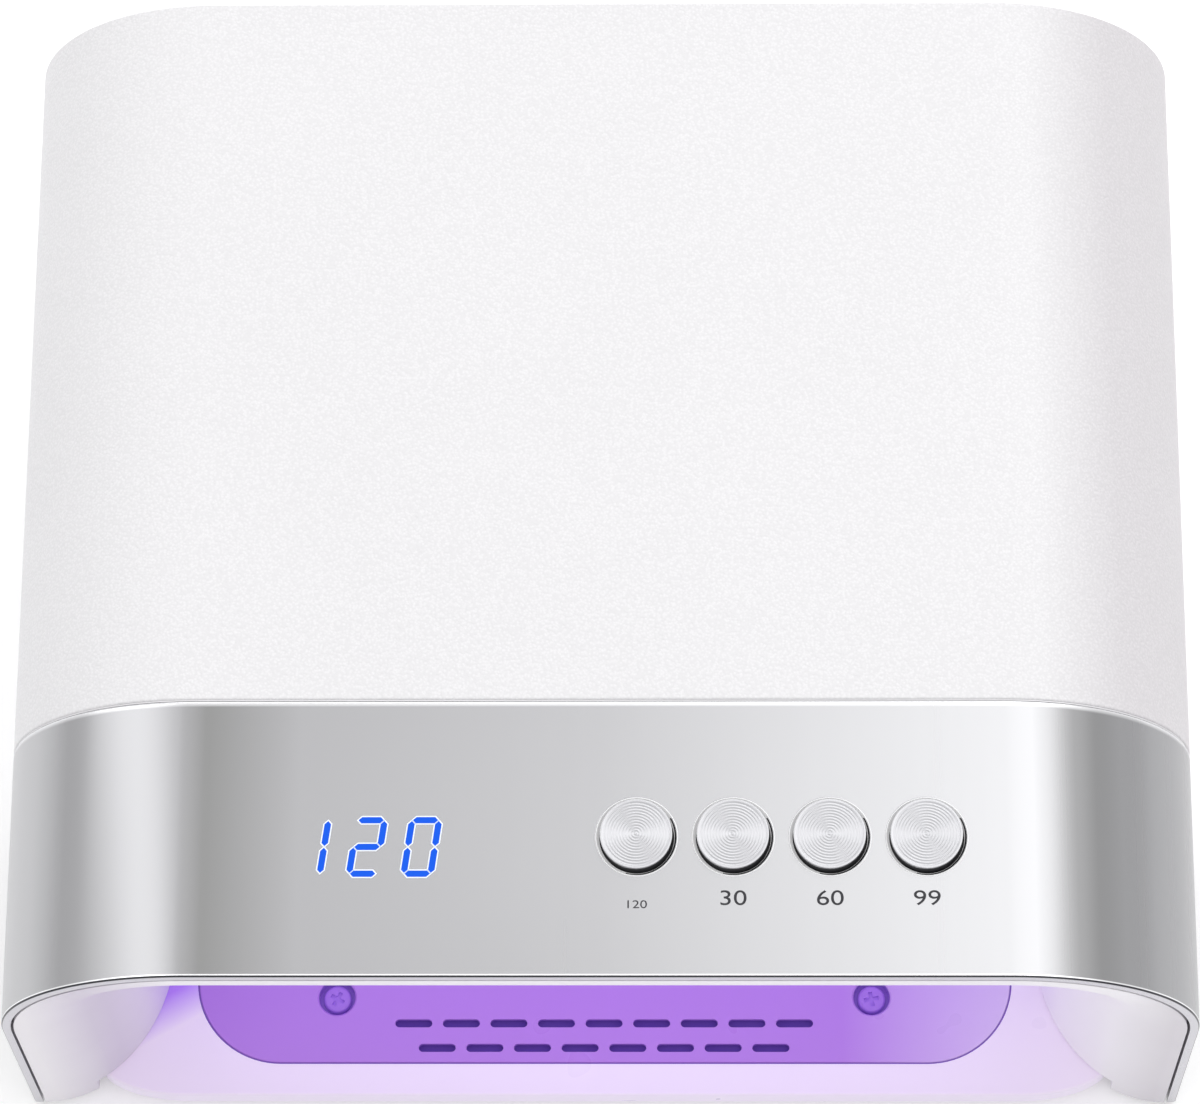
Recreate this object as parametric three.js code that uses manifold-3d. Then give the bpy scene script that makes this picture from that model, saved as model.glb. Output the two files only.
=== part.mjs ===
// A desktop nail lamp: an arched housing over a hand tunnel, in millimetres, +Z up, front facing -Y.
// Inside the lamp group, y is 0 at the front face and z is 0 at the lower edges of the side walls.
import * as THREE from "three";
import { mergeVertices } from "three/addons/utils/BufferGeometryUtils.js";
import Module from "manifold-3d";

const wasm = await Module();
wasm.setup();

// Overall size and shared clearances
const width = 230;
const depth = 201;
const bodyHeight = 90.6;
const cornerRadius = 38;
const footProud = 1.6;
const fit = 0.3;
const overrun = 1;

// Metal front band
const bandDepth = 54.3;
const bandWall = 1.8;
const bandBevel = 0.5;
const windowSkin = 0.8;

// Leather wrap and the shell beneath it
const wrapWall = 1;
const wrapEdge = 0.4;
const shellWall = 1.7;

// Bell-mouthed tunnel liner
const flareReach = 26;
const flareDepth = 32;
const linerWall = 2;
const tunnelRearMargin = 19;

// Tray that closes the tunnel from below, and the panel on it
const trayInset = 13.3;
const trayHeight = 5;
const trayRearMargin = 13;
const trayCornerAcross = 18.2;
const trayCornerBack = 7.5;
const trayRearRadius = 5;
const traySkin = 1.2;
const trayLedge = 2.5;
const panelInset = 19.7;
const panelFront = 6.85;
const panelRearMargin = 12;
const panelCorner = 17;
const panelWall = 1.2;
const cupRadius = 3.7;
const cupWall = 1;
const cupFloor = 0.6;

// Vent slots of the panel: two staggered rows near the front, over one long window in the tray
const slotLength = 7.5;
const slotWidth = 1.7;
const slotPitch = 9.6;
const slotCount = 9;
const slotRowFront = 9.9;
const slotRowBack = 15;

// Side rails and feet
const railLedgeReach = 3.5;
const railLedgeHeight = 1.2;
const railHeight = 6;
const railFront = 6;
const footRadius = 4;
const footStemRadius = 2;
const footStemHeight = 2.5;
const footInset = 20;

// Buttons: cap, stem, switch and their row on the band
const buttonCount = 4;
const buttonPitchShare = 0.0787;
const buttonFirstShare = 0.032;
const buttonRow = 27.4;
const capShare = 0.3757;
const capProud = 1.8;
const capGroove = 0.25;
const capGrooveCount = 4;
const capGrooveShare = 0.5;
const capRim = 0.6;
const capPlay = 0.4;
const ringChamfer = 0.6;
const capFlangeReach = 1.2;
const capFlangeHeight = 1;
const buttonTravel = 0.8;
const stemRadius = 2.5;
const stemLength = 5.5;
const plungerRadius = 1.7;
const plungerHeight = 2.4;
const plungerSunk = 1.5;
const switchSize = 6;
const switchHeight = 3.5;

// Control deck behind the band: carrier, display and control board
const carrierWall = 1.6;
const carrierLeftShare = 0.3043;
const carrierRightShare = 0.3217;
const carrierFront = 14;
const carrierRear = 42;
const postRadius = 3;
const postInset = 4;
const boardWall = 1.6;
const displayLeftShare = 0.2522;
const displayRightShare = 0.113;
const displayFront = 16.5;
const displayRear = 34;

// Light boards and their beads
const beadRadius = 4;
const beadBase = 0.8;
const beadSunk = 0.1;
const lightFrontMargin = 14;
const lightRearMargin = 32;
const topLightInset = 24.9;
const topBeadColumns = 5;
const sideBeadRows = 2;
const beadRanks = 3;
const sideLightLow = 12;
const sideLightDrop = 10.5;

// Rear wall with the fan, the socket and the driver board
const rearRecess = 2;
const rearWall = 2.2;
const bossRadius = 3.5;
const bossLength = 11;
const lowerBossHeight = 14;
const fanSize = 50;
const fanThick = 10;
const fanBore = 23.6;
const fanHeightShare = 0.576;
const fanHoleInset = 4;
const fanHubRadius = 10;
const fanHubWall = 1.5;
const fanRotorThick = 8;
const fanBladeCount = 7;
const fanBladeWall = 1.2;
const fanBladeTurn = 0.7;
const fanTipGap = 0.8;
const fanStrutWidth = 3;
const fanSeatWall = 1.4;
const grillePitch = 4.8;
const grilleSlot = 2.4;
const jackX = 45;
const jackDrop = 15.1;
const jackRadius = 5.5;
const jackBore = 3.2;
const jackBoreDepth = 9;
const jackPinRadius = 0.9;
const jackLength = 14;
const jackFlangeReach = 1.8;
const jackFlangeWall = 1.3;
const nutReach = 3;
const nutWall = 2.4;
const driverLeft = -20;
const driverRight = 62;
const driverRearMargin = 1;
const driverLength = 28;
const driverMargin = 3;
const capacitorRadius = 5;
const capacitorHeight = 12;
const coilSize = 12;
const terminalLength = 12;
const terminalWidth = 7;

// Flat leads between the boards, the socket and the fan
const leadWidth = 6;
const leadWall = 0.8;
const leadReach = 3;
const fanLeadDrop = 11.4;
const flexWidth = 12;
const flexWall = 0.4;

// Magnets that hold the tray
const magnetInset = 23.7;
const magnetHalf = 7;
const magnetWall = 4;
const magnetLow = 0.6;
const magnetHigh = 4.6;
const keeperWall = 1;

// Screws
const screwShank = 1.2;
const screwHead = 2.8;
const screwHeadHeight = 1.2;
const screwHoleRadius = 1.5;
const recessWidth = 0.7;
const recessReach = 1.5;
const recessDepth = 0.7;
const panelScrewShare = 0.6585;
const panelScrewY = 20.5;
const panelScrewLength = 2.6;
const rearScrewLength = 9;
const fanScrewLength = 8;
const boardScrewLength = 7;

// How finely round parts are divided
const arcSteps = 12;
const flareSteps = 8;
const roundSteps = 20;
const smallSteps = 10;
const beadSteps = 8;
const slotSteps = 3;
const cupSteps = 16;
const bladeSteps = 3;

// Sizes that follow from those above
const halfWidth = width / 2;
const tunnelDepth = depth - tunnelRearMargin;
const underBand = bandWall + fit;
const underWrap = wrapWall + fit;
const shellInner = underBand + shellWall;
const shellFront = linerWall + fit + fit;
const tunnelInset = underBand + flareReach;
const linerOuter = tunnelInset - linerWall;
const linerRear = tunnelDepth + linerWall;
const roofHeight = bodyHeight - linerOuter;
const tunnelHalf = halfWidth - tunnelInset;
const trayHalfWidth = halfWidth - trayInset;
const trayDepth = depth - trayRearMargin;
const panelHalfWidth = trayHalfWidth - panelInset;
const panelScrewX = panelHalfWidth * panelScrewShare;
const magnetX = trayHalfWidth - magnetInset;
const rearOuter = depth - rearRecess;
const rearInner = rearOuter - rearWall;
const railInner = trayHalfWidth + fit;
const railOuter = halfWidth - shellInner - fit;
const railMiddle = (railInner + railOuter) / 2;
const railRear = rearInner - fit;
const panelRear = tunnelDepth - panelRearMargin;
const ledgeHeight = trayHeight - panelWall - fit;
const bandUnderside = bodyHeight - bandWall;
const shellUnderside = bodyHeight - shellInner;
const buttonFirst = width * buttonFirstShare;
const buttonPitch = width * buttonPitchShare;
const capRadius = buttonPitch * capShare;
const carrierLeft = -width * carrierLeftShare;
const carrierRight = width * carrierRightShare;
const displayLeft = -width * displayLeftShare;
const displayRight = -width * displayRightShare;
const capTop = bodyHeight + capProud;
const flangeTop = bandUnderside - fit;
const flangeBottom = flangeTop - capFlangeHeight;
const carrierTop = shellUnderside - fit;
const carrierBottom = carrierTop - carrierWall;
const stemBottom = flangeBottom - stemLength;
const plungerTop = stemBottom - fit;
const plungerBottom = plungerTop - plungerHeight;
const switchTop = plungerBottom + plungerSunk;
const switchBottom = switchTop - switchHeight;
const boardTop = switchBottom - fit;
const boardBottom = boardTop - boardWall;
const lightBottom = roofHeight + fit;
const lightTop = lightBottom + boardWall;
const beadInset = tunnelInset - beadSunk;
const lightFront = flareDepth + lightFrontMargin;
const lightRear = tunnelDepth - lightRearMargin;
const topLightHalf = tunnelHalf - topLightInset;
const sideLightHigh = roofHeight - sideLightDrop;
const driverRear = tunnelDepth - driverRearMargin;
const driverFront = driverRear - driverLength;
const terminalLeft = driverRight - driverMargin - terminalLength;
const terminalFront = driverRear - driverMargin - terminalWidth;
const fanCentreHeight = roofHeight * fanHeightShare;
const jackHeight = bodyHeight - jackDrop;

// The outer arch from the left foot over the top to the right foot: each station has its outward direction.
function archStations() {
  const stations = [{ x: -halfWidth, z: 0, nx: -1, nz: 0 }];
  const straight = halfWidth - cornerRadius;
  for (const side of [-1, 1]) {
    for (let step = 0; step <= arcSteps; step++) {
      const swept = (step / arcSteps) * (Math.PI / 2);
      const angle = side < 0 ? Math.PI - swept : Math.PI / 2 - swept;
      const nx = Math.cos(angle);
      const nz = Math.sin(angle);
      const x = side * straight + cornerRadius * nx;
      const z = bodyHeight - cornerRadius + cornerRadius * nz;
      stations.push({ x, z, nx, nz });
    }
  }
  stations.push({ x: halfWidth, z: 0, nx: 1, nz: 0 });
  return stations;
}

// Sweeps a closed profile along the arch. Each profile point is a depth y and an inset from the outer arch.
function archSweep(profile) {
  const contour = profile.map(([y, inset]) => new THREE.Vector2(inset, y));
  if (THREE.ShapeUtils.area(contour) < 0) contour.reverse();
  const stations = archStations();
  const count = contour.length;
  const positions = [];
  for (const { x, z, nx, nz } of stations) {
    for (const point of contour) positions.push(x - point.x * nx, point.y, z - point.x * nz);
  }
  const index = [];
  for (let j = 0; j + 1 < stations.length; j++) {
    for (let i = 0; i < count; i++) {
      const a = j * count + i;
      const b = j * count + ((i + 1) % count);
      index.push(a, b, b + count, a, b + count, a + count);
    }
  }
  const last = (stations.length - 1) * count;
  for (const [a, b, c] of THREE.ShapeUtils.triangulateShape(contour, [])) {
    index.push(a, c, b, last + a, last + b, last + c);
  }
  const geometry = new THREE.BufferGeometry();
  geometry.setAttribute("position", new THREE.Float32BufferAttribute(positions, 3));
  geometry.setIndex(index);
  return asSolid(geometry);
}

// Turns a closed geometry into a solid for joining and cutting.
function asSolid(geometry) {
  const bare = geometry.clone();
  bare.deleteAttribute("normal");
  bare.deleteAttribute("uv");
  const merged = mergeVertices(bare, 1e-4);
  const index = merged.index.array;
  const kept = [];
  for (let i = 0; i < index.length; i += 3) {
    const [a, b, c] = [index[i], index[i + 1], index[i + 2]];
    if (a !== b && b !== c && a !== c) kept.push(a, b, c);
  }
  const mesh = new wasm.Mesh({
    numProp: 3,
    vertProperties: merged.attributes.position.array,
    triVerts: new Uint32Array(kept),
  });
  return new wasm.Manifold(mesh);
}

// Turns a solid back into a geometry with flat faces.
function asGeometry(solid) {
  const { numProp, vertProperties, triVerts } = solid.getMesh();
  const geometry = new THREE.BufferGeometry();
  const points = new THREE.InterleavedBuffer(vertProperties, numProp);
  geometry.setAttribute("position", new THREE.InterleavedBufferAttribute(points, 3, 0));
  geometry.setIndex(new THREE.BufferAttribute(triVerts, 1));
  const flat = geometry.toNonIndexed();
  flat.computeVertexNormals();
  return flat;
}

// Basic solids, each given by its limits in the lamp's frame
function block(x0, x1, y0, y1, z0, z1) {
  const geometry = new THREE.BoxGeometry(x1 - x0, y1 - y0, z1 - z0);
  return asSolid(geometry.translate((x0 + x1) / 2, (y0 + y1) / 2, (z0 + z1) / 2));
}

function rod(radius, x, y, z0, z1, steps = roundSteps) {
  const geometry = new THREE.CylinderGeometry(radius, radius, z1 - z0, steps);
  return asSolid(geometry.rotateX(Math.PI / 2).translate(x, y, (z0 + z1) / 2));
}

function rodAcross(radius, x, z, y0, y1, steps = roundSteps) {
  const geometry = new THREE.CylinderGeometry(radius, radius, y1 - y0, steps);
  return asSolid(geometry.translate(x, (y0 + y1) / 2, z));
}

// A plan outline raised from z0 to z1
function raised(shape, z0, z1, curveSteps = arcSteps / 2) {
  const options = { depth: z1 - z0, bevelEnabled: false, curveSegments: curveSteps };
  return asSolid(new THREE.ExtrudeGeometry(shape, options).translate(0, 0, z0));
}

// An outline in x and z carried from depth y0 back to y1
function carried(shape, y0, y1, curveSteps = slotSteps) {
  const options = { depth: y1 - y0, bevelEnabled: false, curveSegments: curveSteps };
  return asSolid(new THREE.ExtrudeGeometry(shape, options).rotateX(Math.PI / 2).translate(0, y1, 0));
}

// A turned part about the z axis, from [radius, height] points listed upwards
function turned(points, steps = roundSteps) {
  const profile = points.map(([radius, height]) => new THREE.Vector2(radius, height));
  return asSolid(new THREE.LatheGeometry(profile, steps).rotateX(Math.PI / 2));
}

function joined(solids) {
  return solids.reduce((whole, solid) => whole.add(solid));
}

function cut(solid, tools) {
  return tools.reduce((left, tool) => left.subtract(tool), solid);
}

// Outlines
function archShape(inset, bottom = 0) {
  const stations = archStations();
  const points = stations.map(({ x, z, nx, nz }) => new THREE.Vector2(x - inset * nx, z - inset * nz));
  points[0].y = bottom;
  points[points.length - 1].y = bottom;
  return new THREE.Shape(points.reverse());
}

function trayShape() {
  const straight = trayHalfWidth - trayCornerAcross;
  const middle = trayCornerBack;
  const rearX = trayHalfWidth - trayRearRadius;
  const rearY = trayDepth - trayRearRadius;
  const shape = new THREE.Shape();
  shape.moveTo(-straight, 0);
  shape.lineTo(straight, 0);
  shape.absellipse(straight, middle, trayCornerAcross, trayCornerBack, -Math.PI / 2, 0);
  shape.absarc(rearX, rearY, trayRearRadius, 0, Math.PI / 2);
  shape.absarc(-rearX, rearY, trayRearRadius, Math.PI / 2, Math.PI);
  shape.absellipse(-straight, middle, trayCornerAcross, trayCornerBack, Math.PI, Math.PI * 1.5);
  return shape;
}

function panelShape(grown) {
  const half = panelHalfWidth + grown;
  const front = panelFront - grown;
  const rear = panelRear + grown;
  const round = panelCorner + grown;
  const shape = new THREE.Shape();
  shape.moveTo(-half + round, front);
  shape.absarc(half - round, front + round, round, -Math.PI / 2, 0);
  shape.absarc(half - round, rear - round, round, 0, Math.PI / 2);
  shape.absarc(-half + round, rear - round, round, Math.PI / 2, Math.PI);
  shape.absarc(-half + round, front + round, round, Math.PI, Math.PI * 1.5);
  return shape;
}

// A round-ended slot centred on a point, long in the first direction
function slotShape(x, y, halfLong, halfWide) {
  const shape = new THREE.Shape();
  const reach = halfLong - halfWide;
  shape.absarc(x + reach, y, halfWide, -Math.PI / 2, Math.PI / 2);
  shape.absarc(x - reach, y, halfWide, Math.PI / 2, Math.PI * 1.5);
  return shape;
}

function uprightSlotShape(x, z, halfLong, halfWide) {
  const shape = new THREE.Shape();
  const reach = halfLong - halfWide;
  shape.absarc(x, z + reach, halfWide, 0, Math.PI);
  shape.absarc(x, z - reach, halfWide, Math.PI, Math.PI * 2);
  return shape;
}

// Places of repeated pieces
function buttonX(k) {
  return buttonFirst + k * buttonPitch;
}

function slotPlaces() {
  const places = [];
  const rows = [
    { y: slotRowBack, count: slotCount },
    { y: slotRowFront, count: slotCount - 1 },
  ];
  for (const { y, count } of rows) {
    for (let k = 0; k < count; k++) {
      places.push({ x: (k - (count - 1) / 2) * slotPitch, y });
    }
  }
  return places;
}

function panelScrewPlaces() {
  const rearRow = panelFront + panelRear - panelScrewY;
  return [
    { x: -panelScrewX, y: panelScrewY },
    { x: panelScrewX, y: panelScrewY },
    { x: -panelScrewX, y: rearRow },
    { x: panelScrewX, y: rearRow },
  ];
}

// Rear bosses: one at the middle of each top corner and one low on each side wall
function bossPlaces() {
  const inset = shellInner + bossRadius - fit;
  const diagonal = (cornerRadius - inset) * Math.SQRT1_2;
  const cornerX = halfWidth - cornerRadius + diagonal;
  const cornerZ = bodyHeight - cornerRadius + diagonal;
  return [
    { x: -cornerX, z: cornerZ },
    { x: cornerX, z: cornerZ },
    { x: -halfWidth + inset, z: lowerBossHeight },
    { x: halfWidth - inset, z: lowerBossHeight },
  ];
}

function fanScrewPlaces() {
  const reach = fanSize / 2 - fanHoleInset;
  const signs = [-1, 1];
  return signs.flatMap((i) => signs.map((k) => ({ x: i * reach, z: fanCentreHeight + k * reach })));
}

function footPlaces() {
  const rows = [footInset, depth - footInset];
  return rows.flatMap((y) => [-railMiddle, railMiddle].map((x) => ({ x, y })));
}

function ranks() {
  const places = [];
  for (let k = 0; k < beadRanks; k++) {
    places.push(lightFront + ((k + 0.5) * (lightRear - lightFront)) / beadRanks);
  }
  return places;
}

function topColumns() {
  const places = [];
  for (let k = 0; k < topBeadColumns; k++) {
    places.push(((k + 0.5) / topBeadColumns - 0.5) * 2 * topLightHalf);
  }
  return places;
}

function sideRows() {
  const places = [];
  for (let k = 0; k < sideBeadRows; k++) {
    places.push(sideLightLow + ((k + 0.5) * (sideLightHigh - sideLightLow)) / sideBeadRows);
  }
  return places;
}

function boardPosts() {
  const y = (carrierFront + carrierRear) / 2;
  return [
    { x: carrierLeft + postInset, y },
    { x: carrierRight - postInset, y },
  ];
}

// Front band: a bent metal strip with four button holes and a thinned display window
function frontBand() {
  const strip = archSweep([
    [bandBevel, 0],
    [bandDepth - bandBevel, 0],
    [bandDepth, bandBevel],
    [bandDepth, bandWall],
    [0, bandWall],
    [0, bandBevel],
  ]);
  const hole = capRadius + capPlay;
  const holes = [];
  for (let k = 0; k < buttonCount; k++) {
    const flare = turned([
      [0, bandUnderside - overrun],
      [hole, bandUnderside - overrun],
      [hole, bodyHeight - ringChamfer],
      [hole + ringChamfer + overrun, bodyHeight + overrun],
      [0, bodyHeight + overrun],
    ]);
    holes.push(flare.translate([buttonX(k), buttonRow, 0]));
  }
  const pocket = block(
    displayLeft - fit,
    displayRight + fit,
    displayFront - fit,
    displayRear + fit,
    bandUnderside - overrun,
    bodyHeight - windowSkin,
  );
  return cut(strip, [...holes, pocket]);
}

function leatherWrap() {
  const front = bandDepth + fit;
  return archSweep([
    [front + wrapEdge, 0],
    [depth - wrapEdge, 0],
    [depth, wrapEdge],
    [depth, wrapWall],
    [front, wrapWall],
    [front, wrapEdge],
  ]);
}

// Outer shell: the structural arch, thinner under the band, with four bosses for the rear screws
function outerShell() {
  const step = bandDepth + fit;
  const arch = archSweep([
    [shellFront, underBand],
    [step, underBand],
    [step, underWrap],
    [depth, underWrap],
    [depth, shellInner],
    [shellFront, shellInner],
  ]);
  const bossRear = rearInner - fit;
  const bossFront = bossRear - bossLength;
  const bosses = bossPlaces().map(({ x, z }) => {
    return rodAcross(bossRadius, x, z, bossFront, bossRear, smallSteps);
  });
  const pilots = bossPlaces().map(({ x, z }) => {
    return rodAcross(screwHoleRadius, x, z, bossFront - overrun, bossRear + overrun, smallSteps);
  });
  const top = bodyHeight;
  const flangeHole = capRadius + capFlangeReach + capPlay;
  const holes = [];
  for (let k = 0; k < buttonCount; k++) {
    holes.push(rod(flangeHole, buttonX(k), buttonRow, shellUnderside - overrun, top));
  }
  const window = block(
    displayLeft - fit,
    displayRight + fit,
    displayFront - fit,
    displayRear + fit,
    shellUnderside - overrun,
    top,
  );
  return cut(joined([arch, ...bosses]), [...pilots, ...holes, window]);
}

// Tunnel liner: an elliptical bell mouth that narrows to a straight tunnel with a slotted end wall
function innerLiner() {
  const inner = [];
  const outer = [];
  for (let k = 0; k <= flareSteps; k++) {
    const angle = (k / flareSteps) * (Math.PI / 2);
    const back = Math.cos(angle);
    const inward = Math.sin(angle);
    inner.push([flareDepth - flareDepth * back, underBand + flareReach * inward]);
    const reach = flareReach - linerWall;
    outer.push([flareDepth - (flareDepth - linerWall) * back, underBand + reach * inward]);
  }
  inner.push([linerRear, tunnelInset]);
  outer.push([linerRear, linerOuter]);
  const walls = archSweep([...inner, ...outer.reverse()]);
  const endWall = carried(archShape(tunnelInset - linerWall / 2), tunnelDepth, linerRear);
  const trayRoom = block(-railInner, railInner, -overrun, linerRear + overrun, -overrun, trayHeight + fit);
  const beadRoom = beadRadius + fit;
  const holes = [];
  for (const y of ranks()) {
    for (const x of topColumns()) {
      holes.push(rod(beadRoom, x, y, roofHeight - linerWall - overrun, roofHeight + overrun, beadSteps));
    }
    for (const z of sideRows()) {
      const hole = new THREE.CylinderGeometry(beadRoom, beadRoom, width, beadSteps);
      holes.push(asSolid(hole.rotateZ(Math.PI / 2).translate(0, y, z)));
    }
  }
  const slots = grilleSlots(fanBore - grilleSlot, tunnelDepth - overrun, linerRear + overrun);
  return cut(joined([walls, endWall]), [trayRoom, ...holes, ...slots]);
}

// Upright slots that fill a circle in front of the fan
function grilleSlots(radius, y0, y1) {
  const slots = [];
  const count = Math.floor(radius / grillePitch);
  for (let k = -count; k <= count; k++) {
    const x = k * grillePitch;
    const halfLong = Math.sqrt(radius * radius - x * x);
    if (halfLong > grilleSlot) {
      slots.push(carried(uprightSlotShape(x, fanCentreHeight, halfLong, grilleSlot / 2), y0, y1));
    }
  }
  return slots;
}

// Rear wall: closes the arch, with the fan grille, the socket hole, screw holes and two magnet pads
function rearPanel() {
  const plate = carried(archShape(shellInner + fit), rearInner, rearOuter);
  const padFront = trayDepth + fit + keeperWall + fit + magnetWall + fit;
  const pads = [-magnetX, magnetX].map((x) => {
    return block(x - magnetHalf, x + magnetHalf, padFront, rearInner + fit, magnetLow, magnetHigh);
  });
  const y0 = rearInner - overrun;
  const y1 = rearOuter + overrun;
  const holes = [...bossPlaces(), ...fanScrewPlaces()].map(({ x, z }) => {
    return rodAcross(screwHoleRadius, x, z, y0, y1, smallSteps);
  });
  const socket = rodAcross(jackRadius + fit, jackX, jackHeight, y0, y1);
  const slots = grilleSlots(fanBore - grilleSlot, y0, y1);
  return cut(joined([plate, ...pads]), [...holes, socket, ...slots]);
}

// Base tray: a shallow pan whose rim is shouldered along both sides for the rails
function baseTray() {
  const body = raised(trayShape(), 0, trayHeight);
  const recess = raised(panelShape(fit), ledgeHeight, trayHeight + overrun);
  const pan = raised(panelShape(-trayLedge), traySkin, trayHeight);
  const shoulders = [-1, 1].map((side) => {
    const inner = side * (trayHalfWidth - railLedgeReach);
    const outer = side * (trayHalfWidth + overrun);
    const [x0, x1] = [Math.min(inner, outer), Math.max(inner, outer)];
    const top = railLedgeHeight + fit;
    return block(x0, x1, railFront - fit, trayDepth + overrun, -overrun, top);
  });
  const middle = (slotRowFront + slotRowBack) / 2;
  const reach = ((slotCount - 1) * slotPitch + slotLength) / 2;
  const window = raised(slotShape(0, middle, reach, slotRowBack - middle), -overrun, trayHeight);
  const holes = panelScrewPlaces().map(({ x, y }) => {
    return rod(screwHoleRadius, x, y, -overrun, trayHeight, smallSteps);
  });
  return cut(body, [recess, pan, ...shoulders, window, ...holes]);
}

// Floor panel: a thin plate with two staggered rows of slots and four screw cups
function floorPanel() {
  const plate = raised(panelShape(0), trayHeight - panelWall, trayHeight);
  const cupBottom = traySkin + fit;
  const cups = panelScrewPlaces().map(({ x, y }) => {
    return rod(cupRadius + cupWall, x, y, cupBottom, trayHeight - panelWall / 2, cupSteps);
  });
  const wells = panelScrewPlaces().map(({ x, y }) => {
    return rod(cupRadius, x, y, cupBottom + cupFloor, trayHeight + overrun, cupSteps);
  });
  const holes = panelScrewPlaces().map(({ x, y }) => {
    return rod(screwHoleRadius, x, y, 0, trayHeight, smallSteps);
  });
  const vents = slotPlaces().map(({ x, y }) => {
    return raised(slotShape(x, y, slotLength / 2, slotWidth / 2), 0, trayHeight + overrun, slotSteps);
  });
  return cut(joined([plate, ...cups]), [...wells, ...holes, ...vents]);
}

// Side rail: fills the foot of the side wall, carries the tray on a ledge and holds the feet
function sideRail(side) {
  const sorted = (a, b) => [Math.min(a, b), Math.max(a, b)];
  const [b0, b1] = sorted(side * railInner, side * railOuter);
  const [l0, l1] = sorted(side * (railInner - railLedgeReach), side * railMiddle);
  const bar = block(b0, b1, railFront, railRear, 0, railHeight);
  const ledge = block(l0, l1, railFront, railRear, 0, railLedgeHeight);
  const sockets = footPlaces()
    .filter(({ x }) => Math.sign(x) === side)
    .map(({ x, y }) => rod(footStemRadius + fit, x, y, -overrun, footStemHeight + fit, smallSteps));
  return cut(joined([bar, ledge]), sockets);
}

function rubberFoot() {
  const profile = [
    [0, -footProud],
    [footRadius - fit, -footProud],
    [footRadius, -footProud + fit],
    [footRadius, -fit],
    [footStemRadius, -fit],
    [footStemRadius, footStemHeight],
    [0, footStemHeight],
  ];
  return turned(profile, smallSteps);
}

// A pan-head screw with its head's underside at z 0, its shank downwards and a cross recess
function screw(length) {
  const body = turned(
    [
      [0, -length],
      [screwShank / 2, -length],
      [screwShank, -length + screwShank],
      [screwShank, 0],
      [screwHead, 0],
      [screwHead, screwHeadHeight / 2],
      [screwHead - screwHeadHeight / 2, screwHeadHeight],
      [0, screwHeadHeight],
    ],
    smallSteps,
  );
  const half = recessWidth / 2;
  const floor = screwHeadHeight - recessDepth;
  const top = screwHeadHeight + overrun;
  const barX = block(-recessReach, recessReach, -half, half, floor, top);
  const barY = block(-half, half, -recessReach, recessReach, floor, top);
  return cut(body, [barX.add(barY)]);
}

// Button cap: a grooved metal disc with a hidden flange and a stem
function buttonCap() {
  const face = [];
  const ring = (capRadius - capRim) / capGrooveCount;
  for (let k = capGrooveCount; k >= 1; k--) {
    face.push([k * ring, capTop], [(k - capGrooveShare) * ring, capTop - capGroove]);
  }
  return turned([
    [0, stemBottom],
    [stemRadius, stemBottom],
    [stemRadius, flangeBottom],
    [capRadius + capFlangeReach, flangeBottom],
    [capRadius + capFlangeReach, flangeTop],
    [capRadius, flangeTop],
    [capRadius, capTop - capGroove],
    ...face,
    [0, capTop],
  ]);
}

function switchPlunger() {
  return rod(plungerRadius, 0, 0, plungerBottom, plungerTop, smallSteps);
}

// Switch body with a well in which the plunger travels
function tactSwitch() {
  const half = switchSize / 2;
  const body = block(-half, half, -half, half, switchBottom, switchTop);
  const wellFloor = plungerBottom - buttonTravel - fit;
  return body.subtract(rod(plungerRadius + fit, 0, 0, wellFloor, switchTop + overrun, smallSteps));
}

// Carrier plate under the shell, with guide holes for the stems, a display window and two posts
function buttonCarrier() {
  const plate = block(carrierLeft, carrierRight, carrierFront, carrierRear, carrierBottom, carrierTop);
  const posts = boardPosts().map(({ x, y }) => {
    return rod(postRadius, x, y, boardTop + fit, carrierBottom + carrierWall / 2, smallSteps);
  });
  const guides = [];
  const [low, high] = [carrierBottom - overrun, carrierTop + overrun];
  const guide = rod(stemRadius + fit, 0, buttonRow, low, high, smallSteps);
  for (let k = 0; k < buttonCount; k++) {
    guides.push(guide.translate([buttonX(k), 0, 0]));
  }
  const window = block(
    displayLeft - fit,
    displayRight + fit,
    displayFront - fit,
    displayRear + fit,
    low,
    high,
  );
  const pilots = boardPosts().map(({ x, y }) => {
    return rod(screwHoleRadius, x, y, boardTop, carrierTop - carrierWall / 2, smallSteps);
  });
  return cut(joined([plate, ...posts]), [...guides, window, ...pilots]);
}

function controlBoard() {
  const board = block(carrierLeft, carrierRight, carrierFront, carrierRear, boardBottom, boardTop);
  const holes = boardPosts().map(({ x, y }) => {
    return rod(screwHoleRadius, x, y, boardBottom - overrun, boardTop + overrun, smallSteps);
  });
  return cut(board, holes);
}

function displayModule() {
  const top = bodyHeight - windowSkin - fit;
  return block(displayLeft, displayRight, displayFront, displayRear, boardTop + fit, top);
}

// A light bead: a short base and a dome along +Z from z 0 to the given height
function bead(height) {
  return turned(
    [
      [0, -beadBase],
      [beadRadius, -beadBase],
      [beadRadius, beadBase],
      [beadRadius / 2, height],
      [0, height],
    ],
    beadSteps,
  );
}

function topLightBoard() {
  const plate = block(-topLightHalf, topLightHalf, lightFront, lightRear, lightBottom, lightTop);
  const height = lightBottom - (bodyHeight - beadInset);
  const beads = [];
  for (const y of ranks()) {
    for (const x of topColumns()) {
      beads.push(bead(height).rotate([180, 0, 0]).translate([x, y, lightBottom]));
    }
  }
  return joined([plate, ...beads]);
}

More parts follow.
